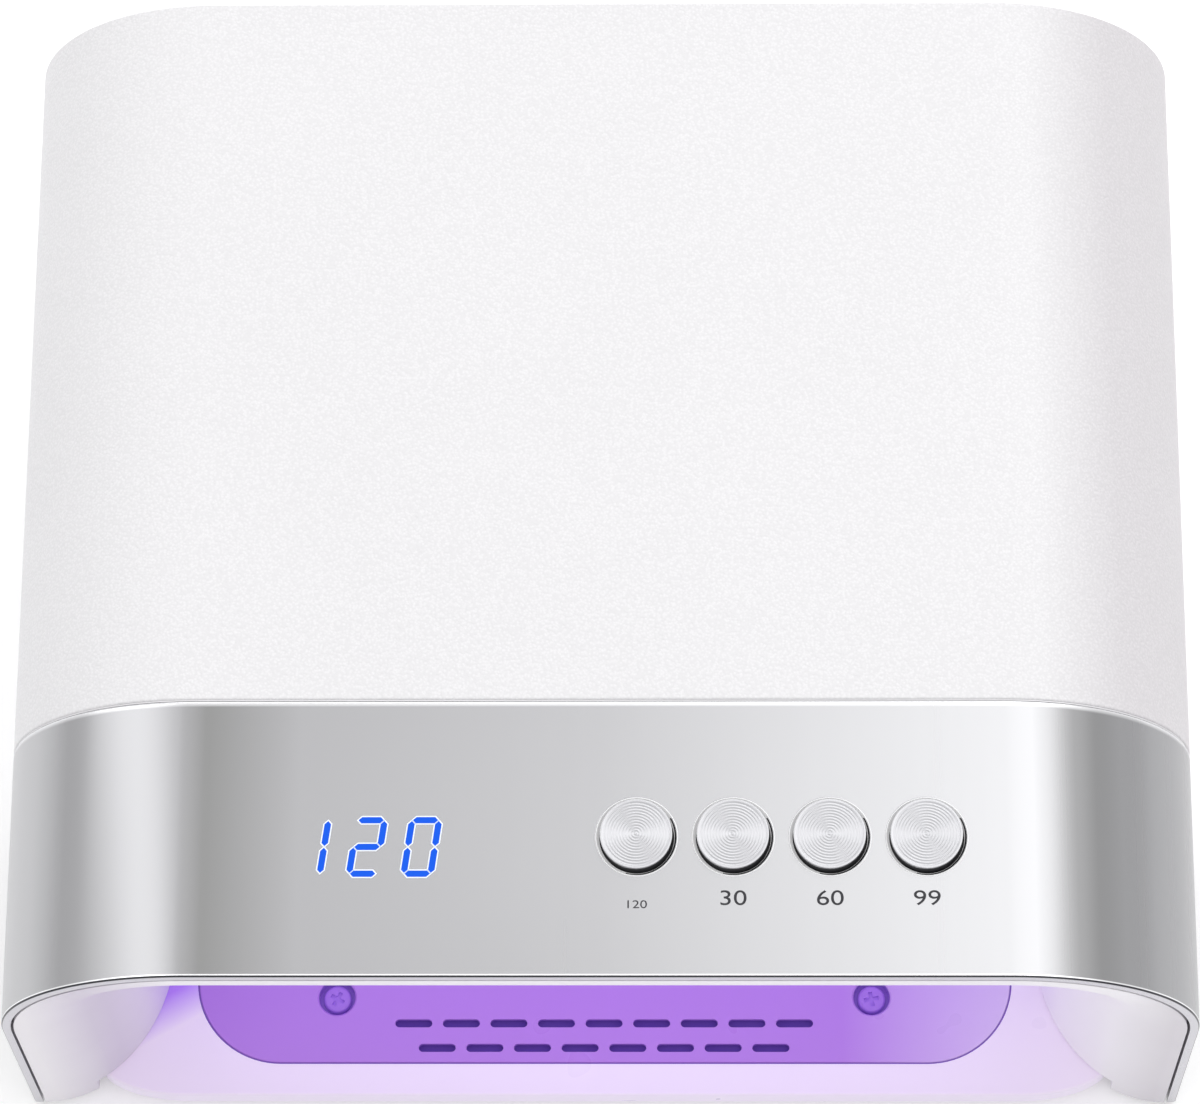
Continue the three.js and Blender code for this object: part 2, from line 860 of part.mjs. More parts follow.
function sideLightBoard(side) {
  const face = halfWidth - linerOuter + fit;
  const back = face + boardWall;
  const [x0, x1] = side < 0 ? [-back, -face] : [face, back];
  const plate = block(x0, x1, lightFront, lightRear, sideLightLow, sideLightHigh);
  const height = face - (halfWidth - beadInset);
  const beads = [];
  for (const y of ranks()) {
    for (const z of sideRows()) {
      beads.push(bead(height).rotate([0, side * -90, 0]).translate([side * face, y, z]));
    }
  }
  return joined([plate, ...beads]);
}

// Driver board on the liner's roof, with its capacitor, coil and terminal block
function driverBoard() {
  const top = lightTop;
  const middle = (driverFront + driverRear) / 2;
  const plate = block(driverLeft, driverRight, driverFront, driverRear, lightBottom, top);
  const seat = top - boardWall / 2;
  const capacitorX = driverLeft + driverMargin + capacitorRadius;
  const capacitor = rod(capacitorRadius, capacitorX, middle, seat, top + capacitorHeight);
  const coilHalf = coilSize / 2;
  const coil = block(-coilHalf, coilHalf, middle - coilHalf, middle + coilHalf, seat, top + coilSize / 2);
  const terminal = block(
    terminalLeft,
    terminalLeft + terminalLength,
    terminalFront,
    terminalFront + terminalWidth,
    seat,
    top + terminalWidth,
  );
  return joined([plate, capacitor, coil.translate([(driverLeft + driverRight) / 2, 0, 0]), terminal]);
}

// Socket for the supply's plug: a flanged barrel with a centre pin
function dcJack() {
  const outer = rearOuter + fit;
  const inner = outer + jackFlangeWall - jackLength;
  const flange = rodAcross(jackRadius + jackFlangeReach, jackX, jackHeight, outer, outer + jackFlangeWall);
  const barrel = rodAcross(jackRadius, jackX, jackHeight, inner, outer + jackFlangeWall / 2);
  const mouth = outer + jackFlangeWall;
  const bore = rodAcross(jackBore, jackX, jackHeight, mouth - jackBoreDepth, mouth + overrun);
  const pinRoot = mouth - jackBoreDepth - overrun;
  const pin = rodAcross(jackPinRadius, jackX, jackHeight, pinRoot, mouth - overrun, smallSteps);
  return joined([cut(joined([flange, barrel]), [bore]), pin]);
}

function jackNut() {
  const rear = rearInner - fit;
  const hexagon = rodAcross(jackRadius + nutReach, jackX, jackHeight, rear - nutWall, rear, 6);
  const front = rear - nutWall - overrun;
  return hexagon.subtract(rodAcross(jackRadius + fit, jackX, jackHeight, front, rear + overrun));
}

// Fan frame: a square frame with a round duct and a motor seat on four struts
function fanFrame() {
  const rear = rearInner - fit;
  const front = rear - fanThick;
  const half = fanSize / 2;
  const [low, high] = [fanCentreHeight - half, fanCentreHeight + half];
  const square = block(-half, half, front, rear, low, high);
  const duct = rodAcross(fanBore, 0, fanCentreHeight, front - overrun, rear + overrun);
  const holes = fanScrewPlaces().map(({ x, z }) => {
    return rodAcross(screwHoleRadius, x, z, front - overrun, rear + overrun, smallSteps);
  });
  const seat = rodAcross(fanHubRadius, 0, fanCentreHeight, rear - fanSeatWall, rear);
  const arm = fanStrutWidth / 2;
  const reach = fanBore + overrun;
  const centre = fanCentreHeight;
  const across = block(-reach, reach, rear - fanSeatWall, rear, centre - arm, centre + arm);
  const upright = block(-arm, arm, rear - fanSeatWall, rear, centre - reach, centre + reach);
  const shaftHole = rodAcross(screwHoleRadius, 0, fanCentreHeight, front, rear + overrun, smallSteps);
  const seated = cut(joined([seat, across, upright]), [shaftHole]);
  return joined([cut(square, [duct, ...holes]), seated]);
}

// Fan rotor: a hub with a shaft in the motor seat and twisted blades, about the y axis
function fanRotor() {
  const seatFront = rearInner - fit - fanSeatWall;
  const rear = seatFront - fit;
  const front = rear - fanRotorThick;
  const hub = rodAcross(fanHubRadius, 0, 0, front, rear);
  const shaft = rodAcross(screwShank, 0, 0, front, seatFront + fanSeatWall / 2, smallSteps);
  const middle = (front + rear) / 2;
  const span = fanBore - fanTipGap - fanHubRadius + fanHubWall;
  const bladeDepth = fanRotorThick - fit - fit;
  const blades = [];
  for (let k = 0; k < fanBladeCount; k++) {
    const angle = (k / fanBladeCount) * Math.PI * 2;
    const blade = new THREE.BoxGeometry(span, fanBladeWall, bladeDepth, bladeSteps, 1, 1);
    const points = blade.attributes.position;
    for (let i = 0; i < points.count; i++) {
      const share = points.getX(i) / span + 0.5;
      const turn = fanBladeTurn * (1 - share / 2);
      const [y, z] = [points.getY(i), points.getZ(i)];
      points.setY(i, y * Math.cos(turn) - z * Math.sin(turn));
      points.setZ(i, y * Math.sin(turn) + z * Math.cos(turn));
    }
    blade.translate(fanHubRadius - fanHubWall + span / 2, 0, 0);
    blade.rotateX(Math.PI / 2);
    blade.rotateY(angle).translate(0, middle, 0);
    blades.push(asSolid(blade));
  }
  return joined([hub, shaft, ...blades]);
}

// Flexible lead that bends round a corner of the liner from the top light board to a side board
function lightFlex(side) {
  const middle = (lightFront + lightRear) / 2;
  const [y0, y1] = [middle - flexWidth / 2, middle + flexWidth / 2];
  const low = linerOuter - fit;
  const strip = archSweep([
    [y0, low - flexWall],
    [y1, low - flexWall],
    [y1, low],
    [y0, low],
  ]);
  const start = topLightHalf + fit;
  const [x0, x1] = side < 0 ? [-halfWidth, -start] : [start, halfWidth];
  const corner = block(x0, x1, y0 - overrun, y1 + overrun, sideLightHigh + fit, bodyHeight);
  return strip.intersect(corner);
}

// Flat lead with an arm that runs from y0 to y1 under zTop, and a leg down to zLow at y1
function elbow(x0, x1, y0, y1, zLow, zTop) {
  const inner = y1 - Math.sign(y1 - y0) * leadWall;
  const arm = block(x0, x1, Math.min(y0, y1), Math.max(y0, y1), zTop - leadWall, zTop);
  const leg = block(x0, x1, Math.min(inner, y1), Math.max(inner, y1), zLow, zTop);
  return joined([arm, leg]);
}

function lightLead() {
  return block(-leadWidth / 2, leadWidth / 2, lightRear + fit, driverFront - fit, lightBottom, lightTop);
}

function controlLead() {
  const half = leadWidth / 2;
  return elbow(-half, half, carrierRear + fit, lightFront + leadReach, lightTop + fit, boardTop);
}

function jackLead() {
  const jackFront = rearOuter + fit + jackFlangeWall - jackLength;
  const terminalTop = lightTop + terminalWidth;
  const bend = terminalFront + leadReach;
  const top = jackHeight + leadWall / 2;
  const [left, right] = [terminalLeft + fit, jackX + jackRadius - fit];
  return elbow(left, right, jackFront - fit, bend, terminalTop + fit, top);
}

function fanLead() {
  const fanFront = rearInner - fit - fanThick;
  return elbow(-leadWidth, 0, driverRear + fit, fanFront - fit, lightTop - fanLeadDrop, lightTop);
}

function trayKeeper(side) {
  const y = trayDepth + fit;
  const x = side * magnetX;
  return block(x - magnetHalf, x + magnetHalf, y, y + keeperWall, magnetLow, magnetHigh);
}

function trayMagnet(side) {
  const y = trayDepth + fit + keeperWall + fit;
  const x = side * magnetX;
  return block(x - magnetHalf, x + magnetHalf, y, y + magnetWall, magnetLow, magnetHigh);
}

// Finishes
const finishes = {
  leather: { color: "#eeecf0", roughness: 0.6, metalness: 0 },
  satinMetal: { color: "#c4c5c8", roughness: 0.28, metalness: 0.9 },
  turnedMetal: { color: "#d6d7da", roughness: 0.22, metalness: 0.9 },
  whitePlastic: { color: "#f1f1f4", roughness: 0.4, metalness: 0 },
  lilacPlastic: { color: "#e4d6f8", roughness: 0.3, metalness: 0 },
  violetPanel: { color: "#a974ea", roughness: 0.3, metalness: 0 },
  blackPlastic: { color: "#1d1e22", roughness: 0.5, metalness: 0 },
  greenBoard: { color: "#2d6b45", roughness: 0.5, metalness: 0 },
  rubber: { color: "#55565a", roughness: 0.85, metalness: 0 },
  steel: { color: "#b4b5b8", roughness: 0.35, metalness: 0.9 },
  magnet: { color: "#8d9095", roughness: 0.3, metalness: 0.9 },
};

function piece(name, solid, finish) {
  const material = new THREE.MeshStandardMaterial(finish);
  const mesh = new THREE.Mesh(asGeometry(solid), material);
  mesh.name = name;
  return mesh;
}

const lamp = new THREE.Group();
lamp.position.set(0, -depth / 2, footProud);

lamp.add(piece("outer_shell", outerShell(), finishes.whitePlastic));
lamp.add(piece("leather_wrap", leatherWrap(), finishes.leather));
lamp.add(piece("front_band", frontBand(), finishes.satinMetal));
lamp.add(piece("inner_liner", innerLiner(), finishes.whitePlastic));
lamp.add(piece("rear_panel", rearPanel(), finishes.whitePlastic));
lamp.add(piece("base_tray", baseTray(), finishes.lilacPlastic));
lamp.add(piece("floor_panel", floorPanel(), finishes.violetPanel));
lamp.add(piece("side_rail_left", sideRail(-1), finishes.whitePlastic));
lamp.add(piece("side_rail_right", sideRail(1), finishes.whitePlastic));
lamp.add(piece("button_carrier", buttonCarrier(), finishes.blackPlastic));
lamp.add(piece("control_board", controlBoard(), finishes.greenBoard));
lamp.add(piece("display_module", displayModule(), finishes.blackPlastic));
lamp.add(piece("light_board_top", topLightBoard(), finishes.whitePlastic));
lamp.add(piece("light_board_left", sideLightBoard(-1), finishes.whitePlastic));
lamp.add(piece("light_board_right", sideLightBoard(1), finishes.whitePlastic));
lamp.add(piece("driver_board", driverBoard(), finishes.greenBoard));
lamp.add(piece("light_lead", lightLead(), finishes.blackPlastic));
lamp.add(piece("control_lead", controlLead(), finishes.blackPlastic));
lamp.add(piece("jack_lead", jackLead(), finishes.blackPlastic));
lamp.add(piece("fan_lead", fanLead(), finishes.blackPlastic));
lamp.add(piece("dc_jack", dcJack(), finishes.blackPlastic));
lamp.add(piece("dc_jack_nut", jackNut(), finishes.steel));
lamp.add(piece("fan_frame", fanFrame(), finishes.blackPlastic));

const rotor = piece("fan_rotor", fanRotor(), finishes.blackPlastic);
rotor.position.z = fanCentreHeight;
lamp.add(rotor);

for (const [side, word] of [
  [-1, "left"],
  [1, "right"],
]) {
  lamp.add(piece("light_flex_" + word, lightFlex(side), finishes.greenBoard));
  lamp.add(piece("tray_keeper_" + word, trayKeeper(side), finishes.steel));
  lamp.add(piece("tray_magnet_" + word, trayMagnet(side), finishes.magnet));
}

for (let k = 0; k < buttonCount; k++) {
  const button = new THREE.Group();
  button.position.set(buttonX(k), buttonRow, 0);
  button.add(piece("button_cap_" + (k + 1), buttonCap(), finishes.turnedMetal));
  button.add(piece("switch_plunger_" + (k + 1), switchPlunger(), finishes.blackPlastic));
  button.add(piece("tact_switch_" + (k + 1), tactSwitch(), finishes.blackPlastic));
  lamp.add(button);
}

footPlaces().forEach(({ x, y }, k) => {
  const foot = piece("rubber_foot_" + (k + 1), rubberFoot(), finishes.rubber);
  foot.position.set(x, y, 0);
  lamp.add(foot);
});

panelScrewPlaces().forEach(({ x, y }, k) => {
  const fastener = piece("panel_screw_" + (k + 1), screw(panelScrewLength), finishes.steel);
  fastener.position.set(x, y, traySkin + fit + cupFloor + fit);
  lamp.add(fastener);
});

bossPlaces().forEach(({ x, z }, k) => {
  const fastener = piece("rear_screw_" + (k + 1), screw(rearScrewLength), finishes.steel);
  fastener.rotation.x = -Math.PI / 2;
  fastener.position.set(x, rearOuter + fit, z);
  lamp.add(fastener);
});

fanScrewPlaces().forEach(({ x, z }, k) => {
  const fastener = piece("fan_screw_" + (k + 1), screw(fanScrewLength), finishes.steel);
  fastener.rotation.x = -Math.PI / 2;
  fastener.position.set(x, rearOuter + fit, z);
  lamp.add(fastener);
});

boardPosts().forEach(({ x, y }, k) => {
  const fastener = piece("board_screw_" + (k + 1), screw(boardScrewLength), finishes.steel);
  fastener.rotation.x = Math.PI;
  fastener.position.set(x, y, boardBottom - fit);
  lamp.add(fastener);
});

const part = new THREE.Group();
part.add(lamp);

export default part;
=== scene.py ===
import math
import bpy
import bmesh
from mathutils import Matrix, Vector


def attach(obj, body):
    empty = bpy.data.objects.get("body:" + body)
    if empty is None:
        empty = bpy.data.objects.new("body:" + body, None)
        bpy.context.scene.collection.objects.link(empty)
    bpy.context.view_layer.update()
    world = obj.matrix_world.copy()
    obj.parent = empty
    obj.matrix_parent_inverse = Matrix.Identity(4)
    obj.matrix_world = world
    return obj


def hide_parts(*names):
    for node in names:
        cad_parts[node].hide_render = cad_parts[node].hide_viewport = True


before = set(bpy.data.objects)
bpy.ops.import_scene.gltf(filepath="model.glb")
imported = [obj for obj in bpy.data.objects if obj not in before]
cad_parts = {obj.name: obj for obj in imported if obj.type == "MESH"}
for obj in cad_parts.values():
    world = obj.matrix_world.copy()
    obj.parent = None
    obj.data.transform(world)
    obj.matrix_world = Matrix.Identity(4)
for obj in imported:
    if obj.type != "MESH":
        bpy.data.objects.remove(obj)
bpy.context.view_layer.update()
print("frame loaded,", len(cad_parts), "nodes")


def linked(name, data):
    obj = bpy.data.objects.new(name, data)
    bpy.context.collection.objects.link(obj)
    return obj


# camera at the photograph's angle
lens = {"length": 157.57, "sensor": 36, "near": 0.05, "far": 20}
cameraData = bpy.data.cameras.new("photoCamera")
cameraData.lens, cameraData.sensor_width = lens["length"], lens["sensor"]
cameraData.clip_start, cameraData.clip_end = lens["near"], lens["far"]
camera = linked("photoCamera", cameraData)
camera.matrix_world = Matrix((
    (0.99983621, 0.00155873, 0.01803102, 0.018433),
    (0.0049031, 0.93569744, -0.35276943, -0.370263),
    (-0.01742146, 0.35280005, 0.93553654, 1.031234),
    (0, 0, 0, 1),
))
bpy.context.scene.camera = camera
bpy.context.scene.view_settings.view_transform = "Standard"

# overall sizes in millimetres: y runs back from the front face, z up from the foot of the side walls
lamp = {
    "halfWidth": 115, "height": 90.6, "depth": 201, "corner": 38, "footProud": 1.6, "bandDepth": 54.3,
    "bandWall": 1.8, "arcSteps": 28, "pilot": 1.5, "smoothAngle": 35, "bevelAngle": 60,
}


def place(x, y, z):
    return Vector((x, y - lamp["depth"] / 2, z + lamp["footProud"])) / 1000


def linear(hexColor):
    channels = [int(hexColor[k:k + 2], 16) / 255 for k in (1, 3, 5)]
    return [c / 12.92 if c <= 0.04045 else ((c + 0.055) / 1.055) ** 2.4 for c in channels] + [1]


# materials
def feed(tree, value, socket):
    if hasattr(value, "links"):
        tree.links.new(value, socket)
    else:
        socket.default_value = value


# makes a node, sets its properties and feeds its inputs with sockets or values
def node(tree, kind, inputs=None, **settings):
    made = tree.nodes.new(kind)
    for key, value in settings.items():
        setattr(made, key, value)
    for key, value in (inputs or {}).items():
        feed(tree, value, made.inputs[key])
    return made


def maths(tree, kind, first, second=0):
    return node(tree, "ShaderNodeMath", {0: first, 1: second}, operation=kind).outputs[0]


def noiseAt(tree, vector, perMetre, detail=1, stretch=(1, 1, 1)):
    scaled = node(tree, "ShaderNodeMapping", {"Vector": vector, "Scale": [perMetre * s for s in stretch]})
    return node(tree, "ShaderNodeTexNoise", {"Vector": scaled.outputs[0], "Scale": 1, "Detail": detail}).outputs["Fac"]


def ranged(tree, value, low, high, fromLow, fromHigh):
    return node(tree, "ShaderNodeMapRange", {
        "Value": value, "From Min": fromLow, "From Max": fromHigh, "To Min": low, "To Max": high,
    }).outputs["Result"]


def mixed(tree, factor, first, second, blend="MIX"):
    return node(tree, "ShaderNodeMix", {0: factor, 6: first, 7: second}, data_type="RGBA", blend_type=blend).outputs[2]


def shade(color, amount):
    return [min(1, c * amount) for c in color[:3]] + [1]


# the parts of a noise or an angle over which each effect comes in
spans = {"mottle": (0.2, 0.8), "fleck": (0.1, 0.6), "upright": (0.25, 0.8), "wear": (0.52, 0.62), "smear": (0.1, 0.9)}


def surface(name, spec):
    material = bpy.data.materials.new(name)
    material.use_nodes = True
    tree = material.node_tree
    spot = node(tree, "ShaderNodeTexCoord").outputs["Object"]
    mottle = ranged(tree, noiseAt(tree, spot, spec.get("patch", 40)), 0, 1, *spans["mottle"])
    spread = spec.get("spread", 0.03)

    def tinted(hexColor):
        base = linear(hexColor)
        return mixed(tree, mottle, shade(base, 1 - spread), shade(base, 1 + spread))

    color = tinted(spec["color"])
    # each painted light or shade is a colour gradient: a direction, its start and end in millimetres and the colour it
    # ends in
    for direction, start, end, paintedTone in spec.get("paintedLightAndShade", []):
        along = node(tree, "ShaderNodeVectorMath", {0: spot, 1: direction}, operation="DOT_PRODUCT").outputs["Value"]
        color = mixed(tree, ranged(tree, along, 0, 1, start / 1000, end / 1000), color, tinted(paintedTone))
    stretch = spec.get("stretch", (1, 1, 1))
    if "cells" in spec:
        scaled = node(tree, "ShaderNodeMapping", {"Vector": spot, "Scale": [spec["cells"]] * 3}).outputs[0]
        deepness = node(tree, "ShaderNodeTexVoronoi", {
            "Vector": scaled, "Scale": 1, "Smoothness": 0.6,
        }, feature="SMOOTH_F1").outputs["Distance"]
        fleck = spec.get("fleck", 0.02)
        color = mixed(tree, 1, color, ranged(tree, deepness, 1 + fleck, 1 - fleck, *spans["fleck"]), "MULTIPLY")
        height = maths(tree, "ADD", deepness, noiseAt(tree, spot, spec["cells"] * 0.9, 2))
    else:
        height = noiseAt(tree, spot, spec.get("grain", 2500), stretch=stretch)
    # faces that tilt away from level blend into the upright colour, a painted shade or lightening of the sides
    if "upright" in spec:
        facing = node(tree, "ShaderNodeSeparateXYZ", {0: node(tree, "ShaderNodeNewGeometry").outputs["Normal"]})
        sideShade = ranged(tree, maths(tree, "ABSOLUTE", facing.outputs["Z"]), 1, 0, *spans["upright"])
        color = mixed(tree, sideShade, color, linear(spec["upright"]))
    wear = spec.get("wear", 0.06)
    if wear:
        edges = ranged(tree, node(tree, "ShaderNodeNewGeometry").outputs["Pointiness"], 0, 1, *spans["wear"])
        color = mixed(tree, maths(tree, "MULTIPLY", edges, wear), color, spec.get("wornColor", [0.9, 0.9, 0.9, 1]))
    smear = noiseAt(tree, spot, spec.get("smear", 120), stretch=stretch)
    rough, vary = spec["rough"], spec.get("vary", 0.15)
    bump = node(tree, "ShaderNodeBump", {
        "Strength": spec.get("strength", 0.3), "Distance": spec.get("deep", 0.02) / 1000, "Height": height,
    })
    fed = {
        "Base Color": color, "Metallic": spec.get("metallic", 0), "IOR": 1.45,
        "Specular IOR Level": spec.get("specular", 0.5), "Normal": bump.outputs["Normal"],
        "Roughness": ranged(tree, smear, rough * (1 - vary), rough * (1 + vary), *spans["smear"]),
    }
    if "glow" in spec:
        fed["Emission Color"], fed["Emission Strength"] = linear(spec["glow"][0]), spec["glow"][1]
    for key, value in fed.items():
        feed(tree, value, tree.nodes["Principled BSDF"].inputs[key])
    return material


finishes = {
    "shell": {"color": "#F1F0F2", "rough": 0.38, "grain": 1600, "deep": 0.015},
    "board": {"color": "#2F6B4A", "rough": 0.45, "grain": 3000, "wornColor": [0.5, 0.6, 0.45, 1]},
    "black": {"color": "#26262A", "rough": 0.5, "grain": 1800, "wornColor": [0.2, 0.2, 0.2, 1]},
    "steel": {"color": "#C9CACC", "rough": 0.28, "metallic": 1, "grain": 3000},
    "magnet": {"color": "#D5D3CE", "rough": 0.2, "metallic": 1, "grain": 2200},
    "display": {"color": "#2A3350", "rough": 0.3, "grain": 2600},
    "lightBoard": {"color": "#F4F4F2", "rough": 0.4, "grain": 2500},
    "rubber": {"color": "#B9B8BC", "rough": 0.75, "grain": 1400, "deep": 0.03, "wear": 0.02},
}
looks = {key: surface(key + "Look", spec) for key, spec in finishes.items()}
print("materials made")


# shape helpers, in millimetres in the lamp's own frame
def rawMesh(name, points, faces=()):
    data = bpy.data.meshes.new(name)
    data.from_pydata(points, [], faces)
    return linked(name, data)


def meshFrom(name, points, faces):
    obj = rawMesh(name, [place(*p) for p in points], faces)
    obj.data.validate()
    return tidy(obj)


def tidy(obj, weld=0.002):
    work = bmesh.new()
    work.from_mesh(obj.data)
    bmesh.ops.remove_doubles(work, verts=work.verts, dist=weld / 1000)
    bmesh.ops.recalc_face_normals(work, faces=work.faces)
    work.to_mesh(obj.data)
    work.free()
    obj.data.shade_smooth()
    obj.data.set_sharp_from_angle(angle=math.radians(lamp["smoothAngle"]))
    return obj


# the angles of a quarter turn, in equal steps
def quarterTurns(steps):
    return [k / steps * math.pi / 2 for k in range(steps + 1)]


# points and outward normals along the arch, from the left wall's foot to the right wall's
def archStations(steps):
    half, corner = lamp["halfWidth"], lamp["corner"]
    low = lamp["height"] - corner
    stations = [(-half, 0, -1, 0)]
    for side in (-1, 1):
        for turned in quarterTurns(steps):
            angle = math.pi - turned if side < 0 else math.pi / 2 - turned
            nx, nz = math.cos(angle), math.sin(angle)
            stations.append((side * (half - corner) + corner * nx, low + corner * nz, nx, nz))
    return stations + [(half, 0, 1, 0)]


def archOutline(inset, steps):
    return [(x - inset * nx, z - inset * nz) for x, z, nx, nz in archStations(steps)]


def archSweep(name, profile, steps=lamp["arcSteps"]):
    stations = archStations(steps)
    points, faces, n = [], [], len(profile)
    for x, z, nx, nz in stations:
        points += [(x - inset * nx, y, z - inset * nz) for y, inset in profile]
    for j in range(len(stations) - 1):
        for i in range(n):
            a, b = j * n + i, j * n + (i + 1) % n
            faces.append((a, b, b + n, a + n))
    faces.append(tuple(range(n)))
    faces.append(tuple(range((len(stations) - 1) * n, len(stations) * n))[::-1])
    return meshFrom(name, points, faces)


def prism(name, outline, low, high, across=False):
    n = len(outline)
    if across:
        points = [(u, low, v) for u, v in outline] + [(u, high, v) for u, v in outline]
    else:
        points = [(u, v, low) for u, v in outline] + [(u, v, high) for u, v in outline]
    faces = [(i, (i + 1) % n, (i + 1) % n + n, i + n) for i in range(n)]
    faces += [tuple(range(n))[::-1], tuple(range(n, 2 * n))]
    return meshFrom(name, points, faces)


def lathe(name, profile, x, y, steps):
    points, faces, n = [], [], len(profile)
    for j in range(steps):
        turn = 2 * math.pi * j / steps
        points += [(x + r * math.cos(turn), y + r * math.sin(turn), z) for r, z in profile]
    for j in range(steps):
        for i in range(n - 1):
            a, b = j * n + i, (j + 1) % steps * n + i
            faces.append((a, b, b + 1, a + 1))
    return meshFrom(name, points, faces)


def rodProfile(radius, low, high):
    return [(0, low), (radius, low), (radius, high), (0, high)]


def rod(name, radius, low, high, x, y, steps=24):
    return lathe(name, rodProfile(radius, low, high), x, y, steps)


def arcPoints(x, y, across, back, start, end, steps):
    turns = [start + (end - start) * k / steps for k in range(steps + 1)]
    return [(x + across * math.cos(t), y + back * math.sin(t)) for t in turns]


def circle(x, y, radius, steps):
    return arcPoints(x, y, radius, radius, 0, 2 * math.pi, steps)[:-1]


def rectangle(x0, x1, y0, y1):
    return [(x0, y0), (x1, y0), (x1, y1), (x0, y1)]


# four quarter arcs, the two on the right given as centre, reaches and steps
def fourCorners(front, rear):
    outline = []
    for k, (side, (x, y, across, back, steps)) in enumerate(((1, front), (1, rear), (-1, rear), (-1, front))):
        outline += arcPoints(side * x, y, across, back, (k - 1) * math.pi / 2, k * math.pi / 2, steps)
    return outline


def carve(obj, tools, operation="DIFFERENCE"):
    for tool in tools:
        modifier = obj.modifiers.new("carve", "BOOLEAN")
        modifier.operation, modifier.solver, modifier.object = operation, "EXACT", tool
    settle(obj, tools)


# the mesh that an object shows, with its modifiers
def shownMesh(obj):
    return bpy.data.meshes.new_from_object(obj.evaluated_get(bpy.context.evaluated_depsgraph_get()))


def bake(obj):
    data = shownMesh(obj)
    obj.modifiers.clear()
    obj.data = data


def settle(obj, helpers=()):
    bake(obj)
    for helper in helpers:
        bpy.data.objects.remove(helper, do_unlink=True)
    return tidy(obj)


def soften(obj, width, segments):
    bevel = obj.modifiers.new("soften", "BEVEL")
    bevel.width, bevel.segments = width / 1000, segments
    bevel.limit_method, bevel.angle_limit = "ANGLE", math.radians(lamp["bevelAngle"])
    settle(obj)


def finished(obj, look, body, nodes):
    obj.modifiers.new("weigh", "WEIGHTED_NORMAL").keep_sharp = True
    bake(obj)
    obj.data.materials.clear()
    obj.data.materials.append(look)
    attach(obj, body)
    if nodes:
        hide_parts(*nodes)


# geometry node helpers
def newTree(name, sockets):
    tree = bpy.data.node_groups.new(name, "GeometryNodeTree")
    tree.interface.new_socket("Geometry", in_out="OUTPUT", socket_type="NodeSocketGeometry")
    tree.interface.new_socket("Geometry", in_out="INPUT", socket_type="NodeSocketGeometry")
    for label, kind in sockets:
        tree.interface.new_socket(label, in_out="INPUT", socket_type="NodeSocket" + kind)
    return tree, tree.nodes.new("NodeGroupInput"), tree.nodes.new("NodeGroupOutput")


def combined(tree, **parts):
    return node(tree, "ShaderNodeCombineXYZ", parts).outputs[0]


def objectIn(tree, socket):
    return node(tree, "GeometryNodeObjectInfo", {"Object": socket}).outputs["Geometry"]


def realised(tree, copies):
    return node(tree, "GeometryNodeRealizeInstances", {0: copies}).outputs[0]


def cutBy(tree, geometry, cutter):
    cutting = node(tree, "GeometryNodeMeshBoolean", {"Mesh 1": geometry, "Mesh 2": cutter},
                   operation="DIFFERENCE", solver="EXACT")
    return cutting.outputs["Mesh"]


# joins the copies into one mesh, paints it and hands it to the group output
def closeTree(tree, source, geometry, result):
    paint = node(tree, "GeometryNodeSetMaterial", {
        "Geometry": realised(tree, geometry), "Material": source.outputs["Material"],
    })
    feed(tree, paint.outputs[0], result.inputs["Geometry"])
    return tree


def runTree(obj, tree, values, helpers=()):
    modifier = obj.modifiers.new(tree.name, "NODES")
    modifier.node_group = tree
    for item in tree.interface.items_tree:
        if item.item_type == "SOCKET" and item.in_out == "INPUT" and item.name in values:
            modifier[item.identifier] = values[item.name]
    return settle(obj, helpers)


# turns the object's own profile points (radius, 0, height) about z, cuts the recess and sets a copy on each place
def turnedTree(name, carved):
    tree, source, result = newTree(name, [
        ("Steps", "Int"), ("Places", "Object"), ("Tilt", "Vector"), ("Twist", "Float"), ("Seed", "Int"),
        ("Recess", "Object"), ("Material", "Material"),
    ])
    out = source.outputs
    size = node(tree, "GeometryNodeAttributeDomainSize", {"Geometry": out["Geometry"]}, component="MESH")
    count = size.outputs["Point Count"]
    grid = node(tree, "GeometryNodeMeshGrid", {"Vertices X": maths(tree, "ADD", out["Steps"], 1), "Vertices Y": count})
    index = node(tree, "GeometryNodeInputIndex").outputs[0]
    column = maths(tree, "FLOOR", maths(tree, "DIVIDE", index, count))
    turn = maths(tree, "MULTIPLY", maths(tree, "DIVIDE", column, out["Steps"]), 2 * math.pi)
    sample = node(tree, "GeometryNodeSampleIndex", {
        "Geometry": out["Geometry"], "Value": node(tree, "GeometryNodeInputPosition").outputs[0],
        "Index": maths(tree, "MODULO", index, count),
    }, data_type="FLOAT_VECTOR", domain="POINT")
    split = node(tree, "ShaderNodeSeparateXYZ", {0: sample.outputs["Value"]}).outputs
    position = combined(tree, X=maths(tree, "MULTIPLY", split["X"], maths(tree, "COSINE", turn)),
                        Y=maths(tree, "MULTIPLY", split["X"], maths(tree, "SINE", turn)), Z=split["Z"])
    move = node(tree, "GeometryNodeSetPosition", {"Geometry": grid.outputs["Mesh"], "Position": position})
    solid = node(tree, "GeometryNodeMergeByDistance", {"Geometry": move.outputs[0], "Distance": 0.000002}).outputs[0]
    if carved:
        solid = cutBy(tree, solid, objectIn(tree, out["Recess"]))
    copies = node(tree, "GeometryNodeInstanceOnPoints", {
        "Points": objectIn(tree, out["Places"]), "Instance": solid, "Rotation": out["Tilt"],
    })
    chance = node(tree, "FunctionNodeRandomValue", {3: out["Twist"], "Seed": out["Seed"]}, data_type="FLOAT")
    twist = node(tree, "GeometryNodeRotateInstances", {
        "Instances": copies.outputs[0], "Rotation": combined(tree, Z=chance.outputs[1]),
    })
    return closeTree(tree, source, twist.outputs[0], result)


turnedCopies = turnedTree("turnedCopies", False)
carvedCopies = turnedTree("carvedCopies", True)


